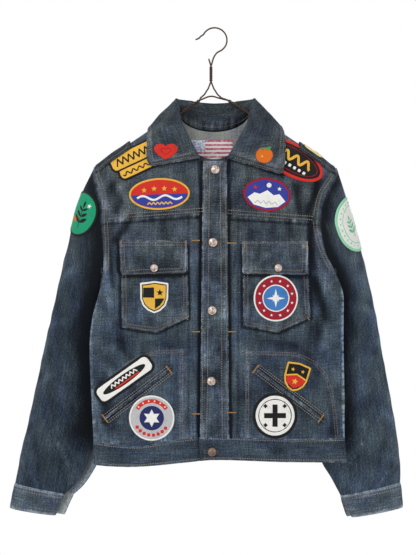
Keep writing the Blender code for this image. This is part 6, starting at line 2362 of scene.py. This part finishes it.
# Rows with a negative second number are painted shadow lines: along the placket's and pleats' edges,
# under the yokes and the collar, round the pockets, flaps and welts, and in the fold hollows.
FRONT_SEAMS_AND_SHADOWS = tuple(SeamOrShadowLine(*row) for row in (
    ([(-240, -352.7), (30, -333)], 0.4, 1.0, 4.5), ([(-30, -337), (240, -354.9)], 0.4, 1.0, 4.5),
    ([(-43, -340), (-43, -735)], 0.1, 0.35, 2.4), ([(40.5, -342), (40.5, -735)], 0.1, 0.35, 2.4),
    ([(-58, -579), (-58, -737)], 0.30, 0.5, 4.0), ([(59, -579), (59, -737)], 0.30, 0.5, 4.0),
    (CURVE_RIGHT, 0.26, 0.4, 4.0), ([*CURVE_LEFT, (220, -732)], 0.26, 0.4, 4.0),
    (SIDE_RIGHT, 0.28, 0.4, 3.5),
    ([(231, -452), (231, -560), (232, -690), (233, -736)], 0.85, 0.4, 2.8),
    ([(-200, -744), (0, -731), (236, -734)], 0.22, 0.7, 6.0),
    ([(-22, -243), (-27.5, -735)], -0.95, 0.0, 3.2), ([(25, -243), (29.5, -735)], -0.85, 0.0, 2.8),
    ([(-45, -338), (-45, -735)], -0.14, 0.0, 2.4), ([(42.5, -340), (42.5, -735)], -0.14, 0.0, 2.4),
    ([(-240, -356.5), (30, -336)], -0.4, 0.0, 2.6), ([(-30, -341), (240, -358)], -0.4, 0.0, 2.6),
    ([(-168, -392), (-166.5, -538.5), (-102.6, -548.5), (-43, -521), (-46, -392)], -0.5, 0.0, 2.4),
    ([(48.5, -392), (49.5, -536), (113.4, -548.5), (173.5, -521), (168.5, -392)], -0.5, 0.0, 2.4),
    ([(-171, -382), (-171, -437), (-162, -446)], -0.5, 0.0, 2.4), (WELT_RIGHT, -0.3, 0.3, 9.0),
    (WELT_LEFT, -0.3, 0.3, 9.0), ([(-182, -284), (-168, -312), (-174, -334)], -0.36, 0.0, 7.0),
    ([(-146, -338), (-158, -362), (-176, -384)], -0.34, 0.0, 6.0),
    ([(-182, -400), (-180, -462)], -0.2, 0.0, 6.0), ([(-200, -640), (-186, -716)], -0.34, 0.0, 11.0),
    ([(-170, -560), (-150, -592)], -0.2, 0.0, 9.0), ([(-86, -334), (-92, -372)], -0.2, 0.0, 8.0),
    ([(185, -276), (178, -296), (171, -314), (165, -332)], -0.42, 0.0, 7.0),
    ([(145, -286), (153, -334)], -0.3, 0.0, 7.0),
    ([(171, -346), (171, -384), (176, -430)], -0.5, 0.0, 7.0),
    ([(176, -452), (186, -486), (200, -520)], -0.42, 0.0, 9.0),
    ([(168, -590), (182, -616)], -0.25, 0.0, 8.0), ([(130, -346), (136, -372)], -0.25, 0.0, 7.0),
    ([(60, -346), (66, -378)], -0.2, 0.0, 7.0),
    ([(212, -456), (226, -500), (231, -560)], 0.12, 0.0, 7.0),
    ([(-118, -247), (-70, -239), (-24, -231)], -0.5, 0.0, 5.0),
    ([(24, -232), (70, -246), (121, -266)], -0.5, 0.0, 5.0),
    ([(-190, -590), (-150, -640)], -0.16, 0.0, 9.0), ([(-60, -420), (-62, -560)], -0.12, 0.0, 6.0),
    ([(90, -560), (150, -572)], -0.16, 0.0, 7.0), ([(-120, -562), (-70, -572)], -0.14, 0.0, 7.0),
    ([(120, -640), (60, -660)], -0.12, 0.0, 9.0), ([(206, -650), (214, -728)], -0.25, 0.0, 8.0),
))
BACK_SEAMS = tuple(SeamOrShadowLine(*row) for row in (
    ([(-240, -334), (240, -334)], 0.34, 0.6, 4.5), ([(-112, -334), (-62, -738)], 0.36, 0.5, 4.0),
    ([(112, -334), (66, -738)], 0.36, 0.5, 4.0), (SIDE_RIGHT, 0.28, 0.4, 3.5),
    ([(231, -480), (231, -560), (232, -690), (233, -736)], 0.28, 0.4, 3.5),
    ([(-216, -742), (0, -731), (236, -734)], 0.22, 0.7, 6.0),
))


# ------------------------------------------------------------------ sizes of the sewn pieces
RING_SIZES = "outer_x outer_z inner_x inner_z depth behind"
ARM_RIGHT = Table.numbered(
    RING_SIZES, (-216, -251, -198.5, -440, 24, -3), (-236, -291, -197.5, -449, 33, 6),
    (-251, -330, -195, -461, 37, 16), (-264, -385, -193, -480, 37, 25),
    (-277, -435, -192, -503, 36, 32), (-289, -490, -192, -540, 35, 36),
    (-303, -550, -197, -585, 33, 37), (-315, -605, -201, -635, 31, 37),
    (-327, -660, -207, -688, 29, 37), (-339, -715, -214, -736, 26, 37),
    (-351, -765, -226, -780, 23, 35), (-358, -803, -250, -821, 20, 32),
    (-362, -823.5, -271, -842, 17, 30),
)
CUFF_RIGHT = Table.numbered(
    RING_SIZES, (-362.4, -824.2, -271.4, -842.7, 17.5, 30), (-367, -846, -280, -861, 18, 30),
    (-371, -867, -288, -880, 18.5, 30),
)
ARM_LEFT = Table.numbered(
    RING_SIZES, (221, -254.5, 217, -440, 24, -3), (238, -303, 217.5, -449, 33, 6),
    (250, -338, 215, -462, 37, 17), (265, -390, 211, -482, 37, 27),
    (277, -435, 206, -505, 36, 35), (290, -490, 198, -540, 34, 40),
    (301, -550, 191, -585, 31, 41), (311, -607, 187, -635, 29, 41),
    (321, -660, 186, -690, 26, 40), (330, -712, 188, -742, 23, 39),
    (337, -762, 196, -783, 21, 38), (340, -800, 213, -812, 19, 35),
    (339, -822.5, 231, -846, 17, 32),
)
CUFF_LEFT = Table.numbered(
    RING_SIZES, (339.2, -823.2, 231.2, -846.7, 17.5, 32), (342, -845, 240, -865, 18, 32),
    (343.5, -866, 251, -884, 18.5, 32),
)
FRONT_PIECES = (
    FrontPiece(
        "placket", [*zip(PLACKET_LEFT, (PLACKET_TOP_Z, -735.5)),
                    *zip(PLACKET_RIGHT[::-1], (-735.5, PLACKET_TOP_Z))], 1.3,
        ("front_yoke_left", "front_left"), shades=(SeamOrShadowLine([(-1, -243), (1, -735)], 0.1, 0.0, 30.0),)),
    # The chest pockets' shades are painted shadows of the flaps' lower edges.
    FrontPiece(
        "chest_pocket_right",
        [(-165.6, -393), (-163.8, -537), (-102.6, -546), (-45, -519), (-47.5, -393)], 1.4,
        ("front_right",), 1.6,
        shades=(SeamOrShadowLine([(-169, -446.5), (-50, -443), (-44, -437)], -0.7, 0.0, 3.0),)),
    FrontPiece(
        "chest_pocket_left", [(51, -393), (52, -534), (113.4, -546), (171, -519), (166.5, -393)],
        1.4, ("front_left",), 1.6,
        shades=(SeamOrShadowLine([(46, -440), (52, -444), (168, -446.5)], -0.7, 0.0, 3.0),)),
    FrontPiece(
        "flap_right",
        [(-168.5, -382.5), (-166, -440.5), (-163, -443.6), (-53.5, -440.2), (-50, -437),
         (-48.6, -382.5)], 1.5, ("front_right", "chest_pocket_right"), 0.8, 0.7),
    FrontPiece(
        "flap_left",
        [(49.5, -384), (50, -438.3), (53, -441.5), (162, -443.6), (165.5, -440.3),
         (166.3, -384)], 1.5, ("front_left", "chest_pocket_left"), 0.8, 0.7),
    FrontPiece(
        "welt_right", [(-74.8, -605.2), (-85.2, -618.8), (-200.2, -706.8), (-189.8, -693.2)], 1.3,
        ("front_right",)),
    FrontPiece(
        "welt_left", [(68.7, -604.2), (78.9, -617.8), (195.9, -706.8), (185.7, -693.2)], 1.3,
        ("front_left",)),
)
BUTTONS = (
    Button("button_1", 1.8, -256.5, 8.0, 0.7), Button("button_2", -1.8, -386.0, 8.0, 0.7),
    Button("button_3", -3.6, -506.7, 8.0, 0.7), Button("button_4", -5.4, -632.7, 8.0, 0.7),
    Button("button_5", -3.6, -758.7, 8.0, 1.6, "tarnished"),
    Button("flap_button_right", -106.2, -431.0, 7.0, 1.2),
    Button("flap_button_left", 113.4, -431.0, 7.0, 1.2),
)


@dataclass
class Jacket:
    """The whole jacket, made in the order in which it is sewn."""

    maker: Maker
    trunk: Trunk = field(default_factory=lambda: Trunk(
        creases={Side.FRONT: FRONT_CREASES, Side.BACK: BACK_CREASES},
        seams_and_shadows={Side.FRONT: FRONT_SEAMS_AND_SHADOWS, Side.BACK: BACK_SEAMS},
    ))
    threads: Threads = field(default_factory=Threads)
    tacks: Threads = field(default_factory=Threads)
    band_top_z: float = -740.0

    def underlap(self, x: Array, z: Array) -> Array:
        """The right front's edge dips to pass under the left front."""
        return 2.8 * ease((x + 34) / 7)

    def build(self) -> None:
        """Makes everything."""
        trunk, maker = self.trunk, self.maker
        front = TrunkGround(trunk, Side.FRONT, [
            Cover([(-43.5, -328), (-43, -760), (-10, -760), (-10, -328)], 0.7, 5.0),
            Cover([(10, -328), (10, -760), (40.5, -760), (41, -328)], 0.7, 5.0),
        ])
        right = TrunkGround(trunk, Side.FRONT, front.covers, self.underlap)
        back = TrunkGround(trunk, Side.BACK)
        TrunkWork(trunk, maker, front, right, back).build()
        band = Waistband(trunk, maker).build()
        sleeves = (
            Sleeve(trunk, maker, "sleeve_right", -1, True, ARM_RIGHT, CUFF_RIGHT, SLEEVE_CREASES),
            Sleeve(trunk, maker, "sleeve_left", 1, False, ARM_LEFT, CUFF_LEFT,
                   [crease.mirrored() for crease in SLEEVE_CREASES]),
        )
        arms = [sleeve.build() for sleeve in sleeves]
        cuffs = [sleeve.build_cuff() for sleeve in sleeves]
        collar, right_leaf, left_leaf = Collar(trunk, maker).build()
        straps = [
            Epaulet(trunk, maker, "epaulet_right", -213.0, -149.0).build(),
            Epaulet(trunk, maker, "epaulet_left", 217.0, 151.0).build(),
        ]
        self.stitch_trunk(front, back)
        fronts = FrontWork(maker, front)
        for piece in FRONT_PIECES:
            fronts.build(piece)
        self.stitch_pieces(front)
        self.stitch_grids(band, arms, cuffs, collar, straps)
        self.build_label(back)
        charts = [sleeve.badge_ground(arm, z)
                  for sleeve, arm, z in zip(sleeves, arms, (-333.5, -352.0))]
        for patch in badges(front, *charts, right_leaf, left_leaf, straps[1]):
            patch.build(maker)
        for button in BUTTONS:
            button.build(maker, front)
        maker.add(self.threads.build("topstitching"), ("topstitch",), "front_left")
        maker.add(self.tacks.build("bar_tacks"), ("tack",), "front_left")
        Hanger(trunk, maker).build()

    def double(self, ground: Ground, points: Outline, gap: float = 5.5, height: float = 0.15,
               faded: float = 0.5) -> None:
        """Two rows of topstitching side by side."""
        flat = resample(points, 3.0)
        ways = unit(np.gradient(flat, axis=0))
        aside = np.stack([-ways[:, 1], ways[:, 0]], 1)
        for side in (-0.5, 0.5):
            moved = flat + aside * gap * side
            self.threads.flat_row(ground, moved.tolist(), height, faded=faded)

    def beside_edge(self, sign: int, inset: float, top_z: float, low_z: float) -> Outline:
        """A line inside the trunk's right (-1) or left (1) edge."""
        z = np.linspace(top_z, low_z, 60)
        return np.stack([self.trunk.edge_x(sign, z) - sign * inset, z], 1).tolist()

    def stitch_trunk(self, front: TrunkGround, back: TrunkGround) -> None:
        """Seams of the fronts, yokes and back, below whatever is sewn on later."""
        self.double(front, [(-188, -340.6), (-20, -328.3)], 6.0, 1.15)
        self.double(front, [(24, -331.5), (184, -343.4)], 6.0, 1.15)
        for x in (-60.3, -55.8, 56.7, 61.2):
            self.threads.flat_row(front, [(x, -579), (x, -736)], faded=0.2)
        for curve in (CURVE_RIGHT, [*CURVE_LEFT, (219, -732)]):
            self.double(front, curve, 4.5, faded=0.15)
        for sign in (-1, 1):
            for inset in (3.0, 8.5):
                armhole = self.beside_edge(sign, inset, -258, -436)
                for ground in (front, back):
                    self.threads.flat_row(ground, armhole, 1.0)
            self.threads.flat_row(back, self.beside_edge(sign, 7, -446, -736))
            self.double(back, [(sign * 110, -334), (sign * 64, -736)], 6.0)
        self.double(back, [(-196, -327), (190, -327)], 6.0, 1.15)

    def stitch_pieces(self, front: TrunkGround) -> None:
        """Edges and tacks of the placket, pockets, flaps and welts."""
        row, tack = self.threads.flat_row, self.tacks.tack
        for inset in (3.0, 12.0):
            for edge, side in ((PLACKET_LEFT, 1), (PLACKET_RIGHT, -1)):
                row(front, [(x + side * inset, z) for x, z in zip(edge, (-243, -734))])
        for z in (-382.5, -544.5, -691):
            tack(front, (-39.6, z), (-25.2, z), 2.6)
        for z in (-387, -544.5, -688.5):
            tack(front, (24.0, z), (39.6, z), 2.6)
        tack(front, (-13.5, -244), (-8.5, -244), 2.2)
        for inset in (3.0, 8.5):
            row(front, [(-165.6 + inset, -444), (-163.8 + inset, -537 + inset * 0.7),
                        (-102.6, -546 + inset), (-45 - inset, -519 + inset * 0.6),
                        (-46.6 - inset, -444)], faded=0.15)
            row(front, [(51 + inset, -444), (52 + inset, -534 + inset * 0.7), (113.4, -546 + inset),
                        (171 - inset, -519 + inset * 0.6), (168.3 - inset, -446)], faded=0.15)
            row(front, [(-168.5 + inset, -384), (-166 + inset, -443.6 + inset),
                        (-50 - inset, -440.2 + inset), (-48.6 - inset, -384)], faded=0.3)
            row(front, [(49.5 + inset, -386), (50 + inset, -441.5 + inset),
                        (165.5 - inset, -443.6 + inset), (166 - inset, -386)], faded=0.3)
            row(front, [(-166, -382.5 - inset), (-51, -382.5 - inset)], faded=0.35)
            row(front, [(52, -384 - inset), (163, -384 - inset)], faded=0.35)
        for x, z in ((-165, -389), (-50, -389), (54, -391), (164, -391)):
            tack(front, (x, z - 5), (x, z + 5), 2.2)
        tack(front, (-51, -519), (-46.5, -523), 2.4)
        tack(front, (166, -520), (170, -524), 2.4)
        for start, end in (WELT_RIGHT, WELT_LEFT):
            way = np.array(end, float) - start
            way /= np.linalg.norm(way)
            aside = np.array([-way[1], way[0]])
            for gap in (-6.2, -2.4, 6.2, 10.0):
                ends = [np.array(start) + aside * gap, np.array(end) + aside * gap]
                row(front, [tuple(ends[0]), tuple(ends[1])], faded=0.7)
            for place in (start, end):
                middle = np.array(place, float)
                tack(front, tuple(middle - aside * 9), tuple(middle + aside * 9), 3.0)
        for button in BUTTONS:
            self.buttonhole(front, button)

    def buttonhole(self, ground: Ground, button: Button, long: float = 25.0) -> None:
        """A worked slot round a button: upright on a flap, else level and a little aside."""
        loop = bar(long, 4.2, 2.0)
        path = evenly(np.concatenate([loop, loop[:1]]), 0.85)
        aside = 1.5
        if button.name.startswith("flap"):
            path, aside = path[:, ::-1] * (1, 0.8), 0.0
        flat = path[:-1] + (button.x - aside, button.z)
        points, normals = ground.spot(flat[:, 0], flat[:, 1])
        across = np.cross(normals, np.gradient(points, axis=0))
        lift = 1.35 if button.z < self.band_top_z else 0.25
        tone = np.zeros(len(flat))
        self.threads.put(points + normals * lift, across, normals, (2.4, 0.8, 0.6), tone)

    def stitch_grids(self, band: GridGround, arms: list[GridGround], cuffs: list[GridGround],
                     collar: GridGround, straps: list[GridGround]) -> None:
        """Rows along the band, cuffs, sleeves, collar and straps."""
        for share in (0.09, 0.9):
            self.run(band, (1, share * band.last_row), (band.last_column - 1, None), 400)
        for cuff in cuffs:
            columns, rows = cuff.last_column, cuff.last_row
            for share in (0.09, 0.2, 0.92):
                self.run(cuff, (1, rows * share), (columns - 1, None), 160)
            for edge in (2.0, columns - 2.0):
                self.run(cuff, (edge, 1), (None, rows - 1), 30)
        for arm in arms:
            columns, rows = arm.last_column, arm.last_row
            for column in (columns * 0.27, columns * 0.285):
                self.run(arm, (column, 2), (None, rows - 1), 260)
            for column in (1.6, columns - 1.6):
                self.run(arm, (column, 4), (None, rows - 1), 260)
        columns, rows = collar.last_column, collar.last_row
        walked = collar.flat[columns // 2, :, 1]
        fold_row = float(np.interp(walked[24] + 2, walked, np.arange(rows + 1)))
        for inset in (4.0, 9.5):
            edge_row = float(np.interp(walked[-1] - inset, walked, np.arange(rows + 1)))
            beside = collar.flat[:, int(edge_row), 0]
            first = float(np.interp(inset, beside, np.arange(columns + 1)))
            self.run(collar, (first, edge_row), (columns - first, None), 500, 0.35)
            for column in (first, columns - first):
                self.run(collar, (column, fold_row), (None, edge_row), 50, 0.35)
        self.run(collar, (6, 2.0), (columns - 6, None), 300, 0.2)
        for strap in straps:
            columns, rows = strap.last_column, strap.last_row
            for row in (3.0, rows - 3.0):
                self.run(strap, (1, row), (columns - 1.5, None), 40, 0.4)
            self.run(strap, (columns - 1.5, 3), (None, rows - 3.0), 20, 0.4)

    def run(self, ground: GridGround, start: tuple[float, float],
            end: tuple[float | None, float | None], count: int, faded: float = 0.55) -> None:
        """A row of stitches along a grid.

        Args:
            ground: the grid.
            start: the column and row where it starts.
            end: where it ends; None where the column or the row stays the same.
            count: how many places it is read at.
            faded: how far its thread has faded.
        """
        i, j = (np.full(count, float(first)) if last is None else np.linspace(first, last, count)
                for first, last in zip(start, end))
        points, normals = ground.read(i, j, 0.15)
        self.threads.row(points, normals, faded)

    def build_label(self, back: TrunkGround) -> None:
        """A well-used cotton label on the inside of the back yoke, below the neckline."""
        corners = [(-43, -199), (-43, -212), (-22, -232), (2, -236), (24, -231), (34, -216),
                   (34, -199)]
        outline = resample(corners, 1.6, closed=True)
        fray = ripple(outline[:, 0] / 2.2, outline[:, 1] / 2.2, 111)
        centre = outline.mean(0)
        outline = outline + (outline - centre) / 30 * fray[:, None] * 1.2
        loop = np.concatenate([outline, outline[:1]])
        inward = np.linspace(0, 1, 16)
        flat = loop[:, None] + (centre - loop)[:, None] * inward[None, :, None]
        x, z = flat[..., 0], flat[..., 1]
        depth = 2.35 + 0.35 * ripple(x / 9, z / 9, 112)
        points, normals = back.spot(x, z)
        placed = points - normals * depth[..., None]
        data = grid_mesh("neck_label", placed, flat, along((0, -1, 0)), {}, wrapped=True)
        thing = self.maker.add(data, ("cotton",), "neck_label", "neck_label")
        self.maker.give_wall(thing, 0.5)
        min(grid_area(placed) * MM * MM, 0.077 * 0.038)


# ------------------------------------------------------------------ light, floor and camera
@dataclass
class Studio:
    """Plain soft light, a pale floor and the camera straight in front."""

    ambient: float = 0.62
    camera_place: tuple[float, float, float] = (-0.0108, -2.775, -0.4482)
    lens: float = 100.0
    middle_z: float = -0.45
    floor_z: float = -1.15
    floor_radius: float = 0.9

    def world(self) -> None:
        """A world that is white to the eye and gives an even light."""
        world = bpy.data.worlds.new("studio")
        world.use_nodes = True
        bpy.context.scene.world = world
        tree = world.node_tree
        sky = tree.nodes["Background"]
        path = tree.nodes.new("ShaderNodeLightPath")
        seen = path.outputs["Is Camera Ray"]
        for ray in ("Is Glossy Ray", "Is Transmission Ray"):
            either = tree.nodes.new("ShaderNodeMath")
            either.operation, either.use_clamp = "ADD", True
            tree.links.new(seen, either.inputs[0])
            tree.links.new(path.outputs[ray], either.inputs[1])
            seen = either.outputs[0]
        bright = tree.nodes.new("ShaderNodeMapRange")
        bright.inputs["To Min"].default_value = self.ambient
        bright.inputs["To Max"].default_value = 1.0
        tree.links.new(seen, bright.inputs["Value"])
        tree.links.new(bright.outputs["Result"], sky.inputs["Strength"])
        sky.inputs["Color"].default_value = (1.0, 1.0, 1.0, 1.0)

    def lamp(self, name: str, place: tuple[float, float, float], size: float, watts: float) -> None:
        """A soft square lamp that looks at the middle of the jacket."""
        light = bpy.data.lights.new(name, "AREA")
        light.size, light.energy = size, watts
        thing = put_in_scene(name, light)
        thing.location = place
        way = Vector((0.0, 0.0, self.middle_z)) - Vector(place)
        thing.rotation_euler = way.to_track_quat("-Z", "Y").to_euler()

    def floor(self) -> None:
        """A round pale floor below the jacket."""
        shape = bmesh.new()
        bmesh.ops.create_circle(shape, cap_ends=True, segments=96, radius=self.floor_radius)
        bmesh.ops.translate(shape, verts=shape.verts[:], vec=(0, 0, self.floor_z))
        data = mesh_of(shape, "floor")
        thing = put_in_scene("floor", data)
        shader = Shader("floor")
        place = shader.place()
        cloud = shader.noise(place, (0.2, 0.2, 0.2), 2.0)
        colour = shader.mixed(cloud, (0.80, 0.80, 0.79), (0.84, 0.84, 0.83))
        data.materials.append(shader.finish(colour, 0.9))

    def build(self) -> None:
        """Makes the world, lamps, floor and camera."""
        self.world()
        self.lamp("key", (-1.3, -2.4, 0.9), 1.6, 34.0)
        self.lamp("fill", (1.9, -2.0, 0.1), 1.8, 9.0)
        self.lamp("back", (0.6, 2.4, 0.9), 1.8, 24.0)
        self.floor()
        camera = bpy.data.cameras.new("camera")
        camera.lens, camera.sensor_width = self.lens, 36.0
        thing = put_in_scene("camera", camera)
        thing.location = self.camera_place
        thing.rotation_euler = (math.pi / 2, 0.0, 0.0)
        bpy.context.scene.camera = thing
        bpy.context.scene.view_settings.view_transform = "Standard"


def finishes() -> dict[str, bpy.types.Material]:
    """All the finishes by their names."""
    indigo = ((0.0, (0.004, 0.006, 0.009)), (0.25, (0.020, 0.026, 0.034)),
              (0.47, (0.053, 0.067, 0.082)), (0.7, (0.118, 0.144, 0.169)),
              (1.0, (0.36, 0.41, 0.46)))
    grey = ((0.0, (0.13, 0.135, 0.14)), (0.4, (0.31, 0.32, 0.315)), (0.7, (0.44, 0.45, 0.44)),
            (1.0, (0.56, 0.57, 0.56)))
    return {
        "denim": Denim("denim", indigo).build(),
        "reverse": Denim("denim_reverse", grey, 1.2).build(),
        "embroidery": Embroidery().build(),
        "topstitch": SewingThread("topstitch", (0.17, 0.115, 0.08), (0.38, 0.34, 0.30)).build(),
        "tack": SewingThread("tack", (0.42, 0.20, 0.045), (0.45, 0.30, 0.15)).build(),
        "plated": WornMetal("plated", (0.56, 0.50, 0.47), (0.26, 0.18, 0.13), 0.28, 1.0).build(),
        "tarnished": WornMetal("tarnished", (0.24, 0.18, 0.15), (0.14, 0.09, 0.06), 0.34,
                               1.0).build(),
        "iron": WornMetal("iron", (0.045, 0.032, 0.026), (0.10, 0.05, 0.032), 0.38, 0.6).build(),
        "cotton": PrintedCotton().build(),
    }


def main() -> None:
    """Builds the studio and the jacket and writes how large they are."""
    logging.basicConfig(level=logging.INFO, format="%(message)s")
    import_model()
    Studio().build()
    Jacket(Maker(finishes())).build()
    log.info("done")


if __name__ == "__main__":
    main()
